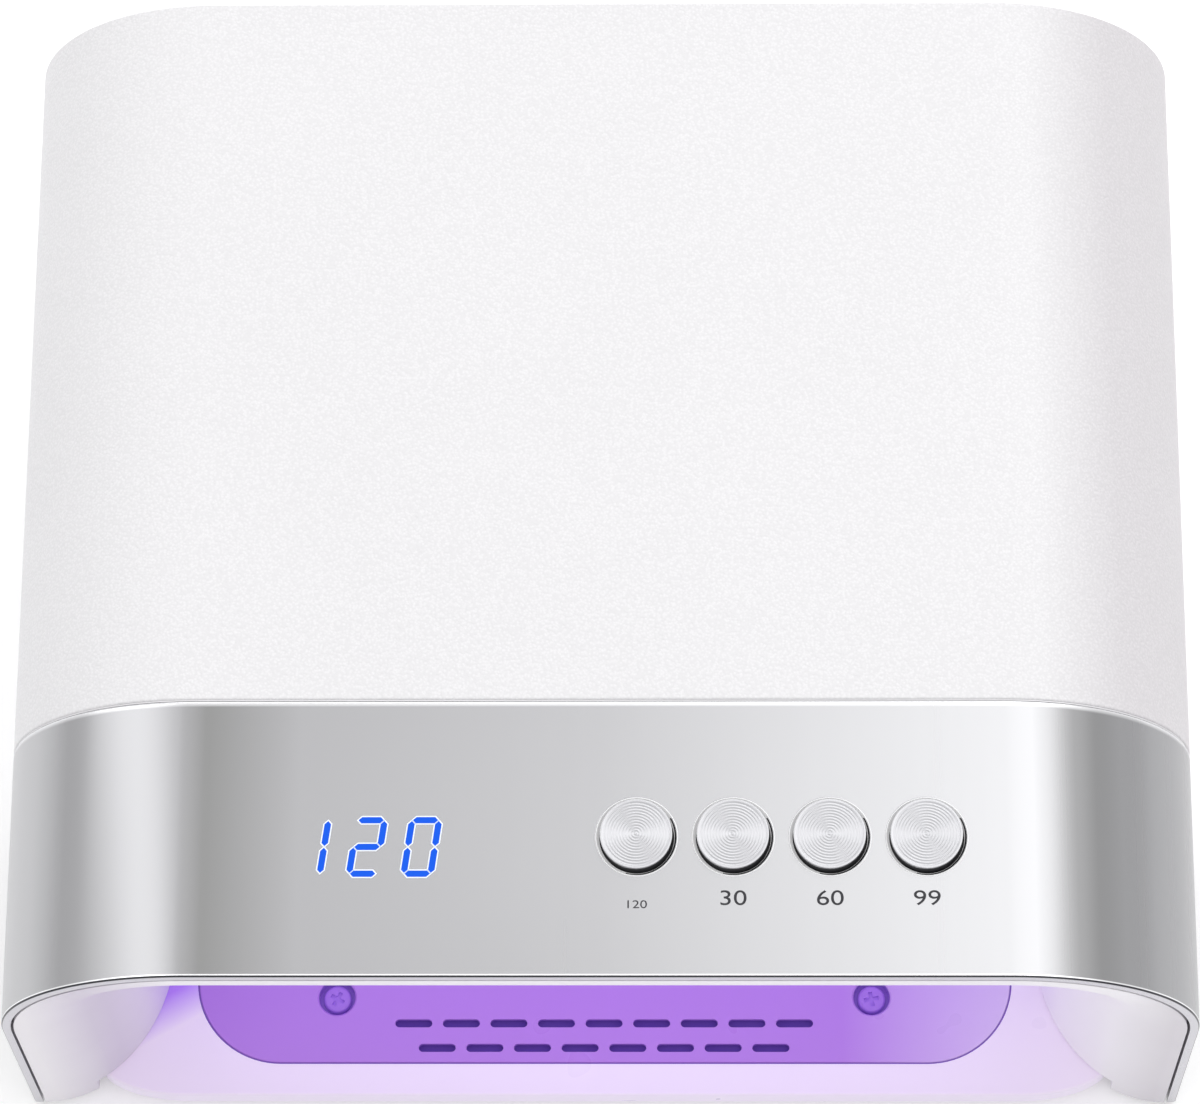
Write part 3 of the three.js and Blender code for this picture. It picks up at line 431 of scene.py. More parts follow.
def turnedAt(name, profile, places, look, steps, tilt=(0, 0, 0), recess=None, twist=0, seed=0):
    obj = rawMesh(name, [(r / 1000, 0, z / 1000) for r, z in profile])
    spots = rawMesh(name + "Places", [place(*p) for p in places])
    values = {"Steps": steps, "Places": spots, "Tilt": tilt, "Twist": twist, "Seed": seed, "Material": look}
    if recess:
        values["Recess"] = recess
    return runTree(obj, carvedCopies if recess else turnedCopies, values, [spots] + ([recess] if recess else []))


# leather wrap
wrap = {"front": 54.6, "wall": 1, "edge": 0.4, "edgeSteps": 4}
edge, rear = wrap["edge"], lamp["depth"]
turns = quarterTurns(wrap["edgeSteps"])
frontEdge = [(wrap["front"] + edge - edge * math.sin(t), edge - edge * math.cos(t)) for t in turns]
rearEdge = [(rear - edge + edge * math.sin(t), edge - edge * math.cos(t)) for t in turns]
profile = rearEdge + [(rear, wrap["wall"]), (wrap["front"], wrap["wall"])] + frontEdge[::-1]
leather = archSweep("leatherWrap", profile)
# painted shade: the leather turns darker towards the right side
leatherLook = surface("leatherLook", {
    "color": "#EEEDEF", "rough": 0.5, "cells": 1800, "fleck": 0.045, "deep": 0.1, "strength": 0.7,
    "patch": 25, "spread": 0.008, "wear": 0, "specular": 0.4,
    "paintedLightAndShade": [((1, 0, 0), 84, 100, "#DEDBDE")],
})
finished(leather, leatherLook, "housing", ["leather_wrap"])
print("leather wrap")

# front band
band = {
    "bevel": 0.5, "bevelSteps": 3, "hole": 7.2, "lip": 0.6, "row": 27.4, "first": 7.36, "pitch": 18.101, "count": 4,
    "window": (-58.3, -25.7, 16.2, 34.3), "skin": 0.8,
}
wall, reach, top = lamp["bandWall"], band["bevel"], lamp["height"]
turns = quarterTurns(band["bevelSteps"])
frontRound = [(reach - reach * math.cos(t), reach - reach * math.sin(t)) for t in turns]
rearRound = [(lamp["bandDepth"] - reach + reach * math.sin(t), reach - reach * math.cos(t)) for t in turns]
strip = archSweep("frontBand", frontRound + rearRound + [(lamp["bandDepth"], wall), (0, wall)], 40)
buttonPlaces = [(band["first"] + k * band["pitch"], band["row"], 0) for k in range(band["count"])]
hole, lip, under = band["hole"], band["lip"], top - wall - 1
flare = [(hole + lip - lip * math.cos(t), top - lip + lip * math.sin(t)) for t in turns]
outline = [(0, under), (hole, under)] + flare + [(hole + lip + 1, top + 1), (0, top + 1)]
tools = [lathe("hole", outline, x, y, 96) for x, y, _ in buttonPlaces]
tools.append(prism("window", rectangle(*band["window"]), under, top - band["skin"]))
carve(strip, tools)
# the colour strips along x are painted reflections of the studio; along y they paint a highlight on the rear edge and
# a highlight, a dark line and a light line on the front bevel
bandLook = surface("bandLook", {
    "color": "#A1A1A3", "rough": 0.27, "metallic": 1, "grain": 480, "deep": 0.0025, "strength": 0.1,
    "stretch": (1, 0.002, 1), "smear": 260, "vary": 0.03, "patch": 30, "spread": 0.006, "wear": 0,
    "paintedLightAndShade": [((-1, 0, 0), 101, 108, "#B4B4B6"), ((1, 0, 0), -79, -74, "#898989"), ((1, 0, 0), -73, -56, "#A1A1A3"),
             ((1, 0, 0), 0, 80, "#B2B2B4"), ((1, 0, 0), 82, 90, "#8E8E8F"), ((1, 0, 0), 94, 99, "#9C9C9E"),
             ((1, 0, 0), 104, 112, "#A0A0A2"),
             ((0, 1, 0), -47.4, -46.6, "#DDDDDF"), ((0, -1, 0), 99.75, 99.95, "#F0F0F2"),
             ((0, -1, 0), 100.06, 100.1, "#454449"), ((0, -1, 0), 100.38, 100.44, "#C4C3C7")],
})
finished(strip, bandLook, "housing", ["front_band"])
print("front band")

# buttons
cap = {
    "radius": 6.8, "top": 92.4, "flange": 8, "flangeTop": 88.5, "flangeLow": 87.5, "stem": 2.5, "stemLow": 82,
    "rim": 0.5, "edge": 0.1, "pitch": 0.56, "groove": 0.085, "perGroove": 6, "faceLow": 91.9, "faceSunk": 0.02,
    "skirtGap": 0.05, "skirtInset": 0.15,
}
rounded, grooved = cap["edge"], cap["radius"] - cap["rim"]
rise = [(0, cap["faceLow"]), (cap["radius"], cap["faceLow"])]
rise += [(cap["radius"] - rounded + rounded * math.cos(t), cap["top"] - rounded + rounded * math.sin(t))
         for t in quarterTurns(4)]
samples = round(grooved / cap["pitch"] * cap["perGroove"])
for k in range(samples, -1, -1):
    r = grooved * k / samples
    dip = cap["groove"] * (0.5 - 0.5 * math.cos(2 * math.pi * (grooved - r) / cap["pitch"]))
    rise.append((r, cap["top"] - cap["faceSunk"] - dip))
skirt, skirtTop = cap["radius"] - cap["skirtInset"], cap["faceLow"] - cap["skirtGap"]
skirtRise = [
    (0, cap["stemLow"]), (cap["stem"], cap["stemLow"]), (cap["stem"], cap["flangeLow"]),
    (cap["flange"], cap["flangeLow"]), (cap["flange"], cap["flangeTop"]), (skirt, cap["flangeTop"]),
    (skirt, skirtTop), (0, skirtTop),
]
capLook = surface("capLook", {
    "color": "#B8B8BB", "rough": 0.34, "metallic": 1, "grain": 1500, "deep": 0.002, "strength": 0.1,
    "smear": 400, "vary": 0.05, "patch": 200, "spread": 0.01, "wear": 0,
})
for k, spot in enumerate(buttonPlaces, 1):
    face = turnedAt(f"buttonFace{k}", rise, [spot], capLook, 128)
    finished(face, capLook, f"button_{k}", [f"button_cap_{k}"])
    base = turnedAt(f"buttonSkirt{k}", skirtRise, [spot], looks["black"], 64)
    finished(base, looks["black"], f"button_{k}", [f"button_cap_{k}"])
# bright rings in the button holes that glow as a painted highlight, set a little off centre so that the dark gap
# beside each cap, which stands in for the cap's cast shadow, shows more on one side
ring = {
    "profile": [(7.02, 89), (7.15, 89), (7.15, 90), (7.65, 90.62), (7.75, 90.62), (7.75, 90.66), (7.6, 90.68),
                (7.02, 90.1), (7.02, 89)],
    "aside": 0.13, "forward": 0.1,
}
ringHighlightLook = surface("ringHighlightLook", {
    "color": "#F4F4F6", "rough": 0.3, "grain": 2500, "deep": 0.004, "wear": 0, "glow": ("#FFFFFF", 0.18),
})
ringPlaces = [(x + ring["aside"], y - ring["forward"], z) for x, y, z in buttonPlaces]
holeRings = turnedAt("holeRings", ring["profile"], ringPlaces, ringHighlightLook, 96)
finished(holeRings, ringHighlightLook, "housing", ["front_band"])
print("buttons")

# tunnel liner
liner = {
    "start": 2.35, "reach": 25.75, "flare": 32, "wall": 2, "rear": 184, "end": 182, "flareSteps": 28, "bead": 4.3,
    "grille": 21.2, "grilleAt": 183, "pitch": 4.8, "slot": 2.4, "fanHeight": 37.152, "arcSteps": 20, "endInset": 2,
    "trayRoom": (-102, 102, -1, 190), "trayGap": 0.3, "grilleDeep": 8, "endReach": 3,
}
tray = {
    "half": 101.7, "height": 5, "depth": 188, "across": 18.2, "back": 7.5, "rear": 5, "skin": 1.2,
    "ledge": 3.5, "ledgeHeight": 1.5, "shoulderFront": 5.7, "edge": 0.6,
}
inner, outer = [], []
for t in quarterTurns(liner["flareSteps"]):
    inner.append((liner["flare"] - liner["flare"] * math.cos(t), liner["start"] + liner["reach"] * math.sin(t)))
    outer.append((liner["flare"] - (liner["flare"] - liner["wall"]) * math.cos(t),
                  liner["start"] + (liner["reach"] - liner["wall"]) * math.sin(t)))
tunnelInset = liner["start"] + liner["reach"]
endAt, rearAt, endReach = liner["end"], liner["rear"], tunnelInset + liner["endReach"]
ends = [(endAt, tunnelInset), (endAt, endReach), (rearAt, endReach), (rearAt, tunnelInset - liner["wall"])]
walls = archSweep("tunnelLiner", inner + ends + outer[::-1], liner["arcSteps"])
endOutline = archOutline(tunnelInset + liner["endInset"], liner["arcSteps"])
carve(walls, [prism("endWall", endOutline, endAt + 0.01, rearAt - 0.01, across=True)], "UNION")


# upright slots whose ends follow a circle
def grilleTree():
    tree, source, result = newTree("roundGrille", [
        ("Radius", "Float"), ("Pitch", "Float"), ("Slot", "Float"), ("Centre", "Vector"), ("Deep", "Float"),
        ("Material", "Material"),
    ])
    out = source.outputs
    beside = maths(tree, "FLOOR", maths(tree, "DIVIDE", out["Radius"], out["Pitch"]))
    first = maths(tree, "MULTIPLY", maths(tree, "MULTIPLY", beside, out["Pitch"]), -1)
    row = node(tree, "GeometryNodeMeshLine", {
        "Count": maths(tree, "ADD", maths(tree, "MULTIPLY", beside, 2), 1),
        "Start Location": combined(tree, X=first), "Offset": combined(tree, X=out["Pitch"]),
    }, mode="OFFSET")
    halfSlot = maths(tree, "DIVIDE", out["Slot"], 2)
    bar = node(tree, "GeometryNodeMeshCylinder", {"Vertices": 16, "Radius": halfSlot, "Depth": out["Deep"]})
    laid = node(tree, "GeometryNodeTransform", {
        "Geometry": bar.outputs["Mesh"], "Rotation": (math.pi / 2, math.pi / 16, 0),
    })
    copies = node(tree, "GeometryNodeInstanceOnPoints", {"Points": row.outputs["Mesh"], "Instance": laid.outputs[0]})
    split = node(tree, "ShaderNodeSeparateXYZ", {0: node(tree, "GeometryNodeInputPosition").outputs[0]}).outputs
    middle = maths(tree, "SNAP", maths(tree, "ADD", split["X"], maths(tree, "DIVIDE", out["Pitch"], 2)), out["Pitch"])
    squares = maths(tree, "SUBTRACT", maths(tree, "POWER", out["Radius"], 2), maths(tree, "POWER", middle, 2))
    stretch = maths(tree, "SUBTRACT", maths(tree, "SQRT", squares), halfSlot)
    longer = node(tree, "GeometryNodeSetPosition", {
        "Geometry": realised(tree, copies.outputs[0]),
        "Offset": combined(tree, Z=maths(tree, "MULTIPLY", maths(tree, "SIGN", split["Z"]), stretch)),
    })
    moved = node(tree, "GeometryNodeTransform", {"Geometry": longer.outputs[0], "Translation": out["Centre"]})
    return closeTree(tree, source, cutBy(tree, out["Geometry"], moved.outputs[0]), result)


# a flat grid of copies of the object's own mesh, moved and turned as one
def beadTree():
    tree, source, result = newTree("beadGrid", [
        ("Columns", "Int"), ("Ranks", "Int"), ("Column Pitch", "Float"), ("Rank Pitch", "Float"),
        ("Centre", "Vector"), ("Turn", "Vector"), ("Material", "Material"),
    ])
    out = source.outputs
    spanX, spanY = [maths(tree, "MULTIPLY", maths(tree, "SUBTRACT", out[amount], 1), out[pitch])
                    for amount, pitch in (("Columns", "Column Pitch"), ("Ranks", "Rank Pitch"))]
    grid = node(tree, "GeometryNodeMeshGrid", {
        "Vertices X": out["Columns"], "Vertices Y": out["Ranks"], "Size X": spanX, "Size Y": spanY,
    })
    copies = node(tree, "GeometryNodeInstanceOnPoints", {"Points": grid.outputs["Mesh"], "Instance": out["Geometry"]})
    turn = node(tree, "GeometryNodeTransform", {
        "Geometry": copies.outputs[0], "Translation": out["Centre"], "Rotation": out["Turn"],
    })
    return closeTree(tree, source, turn.outputs[0], result)


roundGrille = grilleTree()
beadGrid = beadTree()
boards = {
    "Top": {"box": ((-62, 62), (46, 150), (64.8, 66.4)), "columns": 5, "pitch": 24.8, "centre": (0, 98, 64.8),
            "turn": (math.pi, 0, 0)},
}
for side, word in ((-1, "Left"), (1, "Right")):
    faceX = side * 89.2
    boards[word] = {"box": (sorted((faceX, side * 90.8)), (46, 150), (12, 52)), "columns": 2, "pitch": 20,
                    "centre": (faceX, 98, 32), "turn": (0, -side * math.pi / 2, 0)}


beadRows = {"ranks": 3, "pitch": 34.667, "steps": 32}


def onBoard(name, profile, spec, look):
    one = turnedAt(name, profile, [(0, 0, 0)], look, beadRows["steps"])
    one.data.transform(Matrix.Translation(-place(0, 0, 0)))
    return runTree(one, beadGrid, {
        "Columns": spec["columns"], "Ranks": beadRows["ranks"], "Column Pitch": spec["pitch"] / 1000,
        "Rank Pitch": beadRows["pitch"] / 1000, "Centre": place(*spec["centre"]), "Turn": spec["turn"],
        "Material": look,
    })


def grilleIn(obj, y, look):
    runTree(obj, roundGrille, {
        "Radius": liner["grille"] / 1000, "Pitch": liner["pitch"] / 1000, "Slot": liner["slot"] / 1000,
        "Centre": place(0, y, liner["fanHeight"]), "Deep": liner["grilleDeep"] / 1000, "Material": look,
    })


beadRoom = rodProfile(liner["bead"], -1, 6)
openings = [onBoard("beadHoles" + word, beadRoom, spec, looks["shell"]) for word, spec in boards.items()]
trayRoom = prism("trayRoom", rectangle(*liner["trayRoom"]), -3, tray["height"] + liner["trayGap"])
carve(walls, [trayRoom] + openings)
grilleIn(walls, liner["grilleAt"], looks["shell"])
# painted light: the liner glows faintly, is painted darker on the left, lighter again at the far left and darker at
# the far right, and turns lilac further back, painted violet light from the beads
linerLook = surface("linerLook", {
    "color": "#F1EFF2", "rough": 0.34, "grain": 600, "deep": 0.008, "strength": 0.12, "spread": 0.01, "wear": 0,
    "glow": ("#EDE6F4", 0.07),
    "paintedLightAndShade": [((-1, 0, 0), 80, 96, "#CBC3D2"), ((-1, 0, 0), 99, 110, "#E8E5E8"), ((1, 0, 0), 99, 110, "#CECACF"),
             ((0, 1, 0), -85, -60, "#CDB4EE")],
})
finished(walls, linerLook, "housing", ["inner_liner"])
print("tunnel liner")

# base tray
pan = prism("baseTray", fourCorners(
    (tray["half"] - tray["across"], tray["back"], tray["across"], tray["back"], 28),
    (tray["half"] - tray["rear"], tray["depth"] - tray["rear"], tray["rear"], tray["rear"], 6),
), 0, tray["height"])
soften(pan, tray["edge"], 4)
panel = {
    "half": 82, "front": 6.85, "rear": 170, "corner": 17, "wall": 1.2, "cup": 3.7, "cupWall": 1, "cupLow": 1.5,
    "cupHigh": 4.4, "cupFloor": 2.1, "screwX": 54, "screwY": (20.5, 156.35), "slotLong": 7.5, "slotWide": 1.7,
    "slotPitch": 9.6, "rows": ((15, 9), (9.9, 8)), "edge": 0.3, "gap": 0.3, "ledge": 2.5, "windowAt": 12.45,
    "window": (42.15, 2.55), "shadowSheet": (44, 4.6), "shadowSheetHeights": (3.1, 3.3),
    "gapShadow": {"inner": 0.04, "outer": 0.29, "low": 0.6, "high": 0.12},
}


def panelOutline(grown, steps=20):
    corner, radius = panel["corner"], panel["corner"] + grown
    return fourCorners(*[(panel["half"] - corner, y, radius, radius, steps)
                         for y in (panel["front"] + corner, panel["rear"] - corner)])


def slotOutline(x, y, halfLong, halfWide, steps=8):
    reach = halfLong - halfWide
    return arcPoints(x + reach, y, halfWide, halfWide, -math.pi / 2, math.pi / 2, steps) \
        + arcPoints(x - reach, y, halfWide, halfWide, math.pi / 2, math.pi * 1.5, steps)


screwSpots = [(x, y) for y in panel["screwY"] for x in (-panel["screwX"], panel["screwX"])]
sheetTop, gap = tray["height"], panel["gap"]
tools = [
    prism("recess", panelOutline(gap), sheetTop - panel["wall"] - gap, sheetTop + 1),
    prism("hollow", panelOutline(-panel["ledge"]), tray["skin"], sheetTop),
    prism("window", slotOutline(0, panel["windowAt"], *panel["window"], 12), -1, sheetTop),
]
for side in (-1, 1):
    near, far = sorted((side * (tray["half"] - tray["ledge"]), side * (tray["half"] + 1)))
    shoulder = rectangle(near, far, tray["shoulderFront"], tray["depth"] + 1)
    tools.append(prism("shoulder", shoulder, -1, tray["ledgeHeight"]))
tools += [rod("pilot", lamp["pilot"], -1, 5, x, y) for x, y in screwSpots]
carve(pan, tools)
# painted light: the tray glows faintly, its sides take a painted side tone, and a violet band across its front left is
# painted shade beside the liner
trayLook = surface("trayLook", {
    "color": "#F1E6F6", "glow": ("#E4D6EB", 0.1), "upright": "#EFE6F8", "rough": 0.3, "grain": 600, "deep": 0.006,
    "strength": 0.12, "spread": 0.006, "wear": 0,
    "paintedLightAndShade": [((-0.5, 0.87, 0), -32, -25, "#AE70F2"), ((-0.5, 0.87, 0), -16, 4, "#F1E6F6")],
})
finished(pan, trayLook, "tray", ["base_tray"])
print("base tray")

# floor panel
plate = prism("floorPanel", panelOutline(0, 28), sheetTop - panel["wall"], sheetTop)
soften(plate, panel["edge"], 3)


# a row of copies of the cutter along x, cut out of the object
def slotTree():
    tree, source, result = newTree("slotRow", [
        ("Count", "Int"), ("Pitch", "Float"), ("Cutter", "Object"), ("Material", "Material"),
    ])
    out = source.outputs
    span = maths(tree, "MULTIPLY", maths(tree, "SUBTRACT", out["Count"], 1), out["Pitch"])
    row = node(tree, "GeometryNodeMeshLine", {
        "Count": out["Count"], "Offset": combined(tree, X=out["Pitch"]),
        "Start Location": combined(tree, X=maths(tree, "MULTIPLY", span, -0.5)),
    }, mode="OFFSET")
    copies = node(tree, "GeometryNodeInstanceOnPoints", {
        "Points": row.outputs["Mesh"], "Instance": objectIn(tree, out["Cutter"]),
    })
    return closeTree(tree, source, cutBy(tree, out["Geometry"], realised(tree, copies.outputs[0])), result)


slotRow = slotTree()
for y, inRow in panel["rows"]:
    cutter = prism("slotCutter", slotOutline(0, y, panel["slotLong"] / 2, panel["slotWide"] / 2), 0, 6)
    runTree(plate, slotRow, {
        "Count": inRow, "Pitch": panel["slotPitch"] / 1000, "Cutter": cutter, "Material": looks["shell"],
    }, [cutter])
cup = panel["cup"]
cups = [rod("cup", cup + panel["cupWall"], panel["cupLow"], panel["cupHigh"], x, y, 48) for x, y in screwSpots]
carve(plate, cups, "UNION")
well = [(0, panel["cupFloor"]), (cup, panel["cupFloor"]), (cup, sheetTop - gap), (cup + gap, sheetTop)]
well += [(cup + gap, 6), (0, 6)]
tools = []
for x, y in screwSpots:
    tools += [lathe("well", well, x, y, 48), rod("pilot", lamp["pilot"], 0, 5, x, y)]
carve(plate, tools)
# painted light: the panel glows faintly, turns lighter towards the right, and is painted darker below its top face, a
# painted shade in the slots and screw cups
panelLook = surface("panelLook", {
    "color": "#B27EDA", "glow": ("#A46CE6", 0.08), "rough": 0.3, "grain": 600, "deep": 0.006, "strength": 0.12,
    "spread": 0.006, "wear": 0,
    "paintedLightAndShade": [((1, 0, 0), 48, 82, "#DCC8EE"), ((0, 0, -1), -6.2, -5.7, "#8557C4")],
})
finished(plate, panelLook, "tray", ["floor_panel"])
# a dark ring in the gap round the panel, a painted shadow line
gapShadowLook = surface("gapShadowLook", {"color": "#7E55B8", "rough": 0.5, "grain": 2500, "wear": 0})
line = panel["gapShadow"]
gapShadow = prism("panelSeal", panelOutline(line["outer"], 28), sheetTop - line["low"], sheetTop - line["high"])
carve(gapShadow, [prism("sealRoom", panelOutline(line["inner"], 28), 3, 6)])
finished(gapShadow, gapShadowLook, "tray", ["floor_panel"])
# a dark violet sheet under the slots, glowing faintly: painted shade inside the slots, lit violet
slotShadowLook = surface("slotShadowLook", {
    "color": "#4B2D87", "rough": 0.7, "cells": 1400, "deep": 0.05, "wear": 0, "glow": ("#4B2D87", 0.4),
})
slotScreen = prism("slotScreen", slotOutline(0, panel["windowAt"], *panel["shadowSheet"], 12), *panel["shadowSheetHeights"])
finished(slotScreen, slotShadowLook, "tray", ["floor_panel"])
print("floor panel")

# rear panel
back = {
    "inset": 4.1, "front": 196.8, "rear": 199, "jack": (45, 75.5), "jackHole": 5.8, "edge": 0.3, "fanScrew": 21,
    "screws": [(-98.92, 74.52), (98.92, 74.52), (-107.9, 14), (107.9, 14)], "cut": (190, 205),
    "pad": {"at": 78, "half": 7, "y": (193.9, 197.1), "z": (0.6, 4.6)},
}
rearPlate = prism("rearPanel", archOutline(back["inset"], 24), back["front"], back["rear"], across=True)
soften(rearPlate, back["edge"], 3)
rearScrews, pad = back["screws"], back["pad"]
fanScrews = [(i * back["fanScrew"], liner["fanHeight"] + k * back["fanScrew"]) for i in (-1, 1) for k in (-1, 1)]
tools = [prism("pilot", circle(x, z, lamp["pilot"], 24), *back["cut"], across=True)
         for x, z in rearScrews + fanScrews]
tools.append(prism("socket", circle(*back["jack"], back["jackHole"], 48), *back["cut"], across=True))
pads = [prism("pad", rectangle(x - pad["half"], x + pad["half"], *pad["y"]), *pad["z"])
        for x in (-pad["at"], pad["at"])]
carve(rearPlate, pads, "UNION")
carve(rearPlate, tools)
rearLook = surface("rearLook", {"color": "#D2D1D5", "rough": 0.42, "grain": 1600, "deep": 0.02, "patch": 30})
grilleIn(rearPlate, (back["front"] + back["rear"]) / 2, rearLook)
finished(rearPlate, rearLook, "housing", ["rear_panel"])
print("rear panel")

# screws with a cross recess
screwShape = {
    "shank": 1.2, "head": 2.8, "tall": 1.2, "crown": 0.12, "recess": 0.42, "reach": 1.5, "depth": 0.7, "round": 0.55,
    "rim": 0.45, "seat": 2.4, "proud": 0.3, "sides": 40, "twist": 1.5, "lengths": {"panel": 2.6, "rear": 9, "fan": 8},
}


def screwProfile(length):
    shank, head, tall, curve = [screwShape[key] for key in ("shank", "head", "tall", "round")]
    rim = tall * screwShape["rim"]
    profile = [(0, -length), (shank / 2, -length), (shank, -length + shank), (shank, 0), (head - 0.1, 0), (head, 0.1),
               (head, rim)]
    for t in quarterTurns(5)[1:]:
        profile.append((head - curve + curve * math.cos(t), rim + (tall - rim - screwShape["crown"]) * math.sin(t)))
    return profile + [(head * 0.4, tall - 0.03), (0, tall)]


def crossCutter():
    a, b = screwShape["recess"], screwShape["reach"]
    outline = [(b, a), (a, a), (a, b), (-a, b), (-a, a), (-b, a)]
    outline += [(-b, -a), (-a, -a), (-a, -b), (a, -b), (a, -a), (b, -a)]
    cutter = prism("cross", outline, screwShape["tall"] - screwShape["depth"], 2)
    cutter.data.transform(Matrix.Translation(-place(0, 0, 0)))
    return cutter


# the screws glow faintly violet, painted violet light
violetScrew = surface("violetScrewLook", {
    "color": "#9A6CCE", "glow": ("#8A5FC8", 0.25), "rough": 0.4, "grain": 2500, "wear": 0,
})
# turns what stands upright to point backwards
backwards = (-math.pi / 2, 0, 0)
lengths, sides, twist = [screwShape[key] for key in ("lengths", "sides", "twist")]
seats = [(x, y, screwShape["seat"]) for x, y in screwSpots]
trayScrews = turnedAt("panelScrews", screwProfile(lengths["panel"]), seats, violetScrew, sides, recess=crossCutter(),
                      twist=twist, seed=4)
finished(trayScrews, violetScrew, "tray", [f"panel_screw_{k}" for k in range(1, 5)])
for word, spots in (("rear", rearScrews), ("fan", fanScrews)):
    seats = [(x, back["rear"] + screwShape["proud"], z) for x, z in spots]
    made = turnedAt(word + "Screws", screwProfile(lengths[word]), seats, looks["steel"], sides, backwards,
                    crossCutter(), twist, 7)
    finished(made, looks["steel"], "housing", [f"{word}_screw_{k}" for k in range(1, 5)])

# feet
foot = {"radius": 4, "edge": 0.35, "stem": 2, "stemTop": 2.5, "top": -0.3, "x": 106.45, "rows": (20, 181)}
low, rounded = -lamp["footProud"], foot["edge"]
footRise = [(0, low), (foot["radius"] - rounded, low)]
footRise += [(foot["radius"] - rounded + rounded * math.sin(t), low + rounded - rounded * math.cos(t))
             for t in quarterTurns(4)[1:]]
footRise += [(foot["radius"], foot["top"]), (foot["stem"], foot["top"]), (foot["stem"], foot["stemTop"]),
             (0, foot["stemTop"])]
footSpots = [(x, y, 0) for y in foot["rows"] for x in (-foot["x"], foot["x"])]
feet = turnedAt("rubberFeet", footRise, footSpots, looks["rubber"], 40)
finished(feet, looks["rubber"], "housing", [f"rubber_foot_{k}" for k in range(1, 5)])

# supply socket
jack = {
    "barrel": 5.5, "front": 186.6, "flange": 7.3, "flangeFront": 199.3, "rear": 200.6, "bore": 3.2, "depth": 9,
    "pin": 0.9, "pinSunk": 1,
}
mouth, flange, bore, pin = [jack[key] for key in ("rear", "flange", "bore", "pin")]
floorAt, pinTip = mouth - jack["depth"], mouth - jack["pinSunk"]
jackRise = [
    (0, jack["front"]), (jack["barrel"], jack["front"]), (jack["barrel"], jack["flangeFront"]),
    (flange, jack["flangeFront"]), (flange, mouth - 0.35), (flange - 0.1, mouth - 0.1), (flange - 0.35, mouth),
    (bore + 0.3, mouth), (bore, mouth - 0.3), (bore, floorAt), (0, floorAt),
]
pinRise = [(0, floorAt + 0.02), (pin, floorAt + 0.02), (pin, pinTip - 0.3), (pin - 0.3, pinTip), (0, pinTip)]
jackX, jackZ = back["jack"]
for name, profile, look, steps, slot in (("supplySocket", jackRise, "black", 64, "black_plastic"),
                                         ("socketPin", pinRise, "steel", 32, "screw_steel")):
    made = turnedAt(name, profile, [(jackX, 0, jackZ)], looks[look], steps, backwards)
    finished(made, looks[look], "housing", ["dc_jack"])

# outer shell
shell = {
    "front": 2.6, "bead": (54.35, 54.56), "beadInset": 0.3, "underBand": 2.1, "underWrap": 1.3, "inner": 3.8,
    "boss": 3.5, "bossRear": 196.5, "bossLong": 11, "hole": 8.7, "cut": (80, 95), "bossCut": (180, 205), "edge": 0.3,
}
rear, edge, (beadFront, beadRear) = lamp["depth"], shell["edge"], shell["bead"]
body = archSweep("outerShell", [
    (shell["front"], shell["underBand"]), (beadFront, shell["underBand"]), (beadFront, shell["beadInset"]),
    (beadRear, shell["beadInset"]), (beadRear, shell["underWrap"]), (rear - edge, shell["underWrap"]),
    (rear, shell["underWrap"] + edge), (rear, shell["inner"] - edge), (rear - edge, shell["inner"]),
    (shell["front"], shell["inner"]),
])
bossFront = shell["bossRear"] - shell["bossLong"]
bosses = [prism("boss", circle(x, z, shell["boss"], 32), bossFront, shell["bossRear"], across=True)
          for x, z in rearScrews]
carve(body, bosses, "UNION")
tools = [prism("pilot", circle(x, z, lamp["pilot"], 24), *shell["bossCut"], across=True) for x, z in rearScrews]
tools += [rod("hole", shell["hole"], *shell["cut"], x, y, 64) for x, y, _ in buttonPlaces]
tools.append(prism("window", rectangle(*band["window"]), *shell["cut"]))
carve(body, tools)
finished(body, looks["shell"], "housing", ["outer_shell"])
print("outer shell")

# side rails
rails = {
    "section": [(98.5, 0), (110.9, 0), (110.9, 6), (102, 6), (102, 1.2), (98.5, 1.2)], "y": (6, 196.5), "edge": 0.25,
    "well": 2.3, "wellTop": 2.8,
}
for side, word in ((-1, "left"), (1, "right")):
    outline = [(side * x, z) for x, z in rails["section"]]
    rail = prism("sideRail" + word.capitalize(), outline, *rails["y"], across=True)
    soften(rail, rails["edge"], 2)
    carve(rail, [rod("well", rails["well"], -1, rails["wellTop"], side * foot["x"], y) for y in foot["rows"]])
    finished(rail, looks["shell"], "housing", ["side_rail_" + word])
print("side rails")

# light boards with their beads
bead = {"radius": 4, "base": 0.8, "sunk": 0.02, "tall": 2.2, "rim": 0.5, "edge": 0.15, "steps": 8, "boardEdge": 0.15}
radius, base, dome = bead["radius"], bead["base"], bead["radius"] - bead["rim"]
beadRise = [(0, bead["sunk"]), (radius, bead["sunk"]), (radius, base - bead["edge"]), (radius - bead["edge"], base),
            (dome, base)]
beadRise += [(dome * math.cos(t), base + (bead["tall"] - base) * math.sin(t)) for t in quarterTurns(bead["steps"])[1:]]
beadLook = surface("beadLook", {
    "color": "#E6DAFB", "rough": 0.15, "grain": 3000, "deep": 0.003, "wear": 0, "glow": ("#A583FF", 1.2),
})
for word, spec in boards.items():
    acrossX, acrossY, (boardLow, boardHigh) = spec["box"]
    plank = prism("lightBoard" + word, rectangle(*acrossX, *acrossY), boardLow, boardHigh)
    soften(plank, bead["boardEdge"], 2)
    replaced = ["light_board_" + word.lower()]
    finished(plank, looks["lightBoard"], "housing", replaced)
    finished(onBoard("lightBeads" + word, beadRise, spec, beadLook), beadLook, "housing", replaced)
print("light boards")

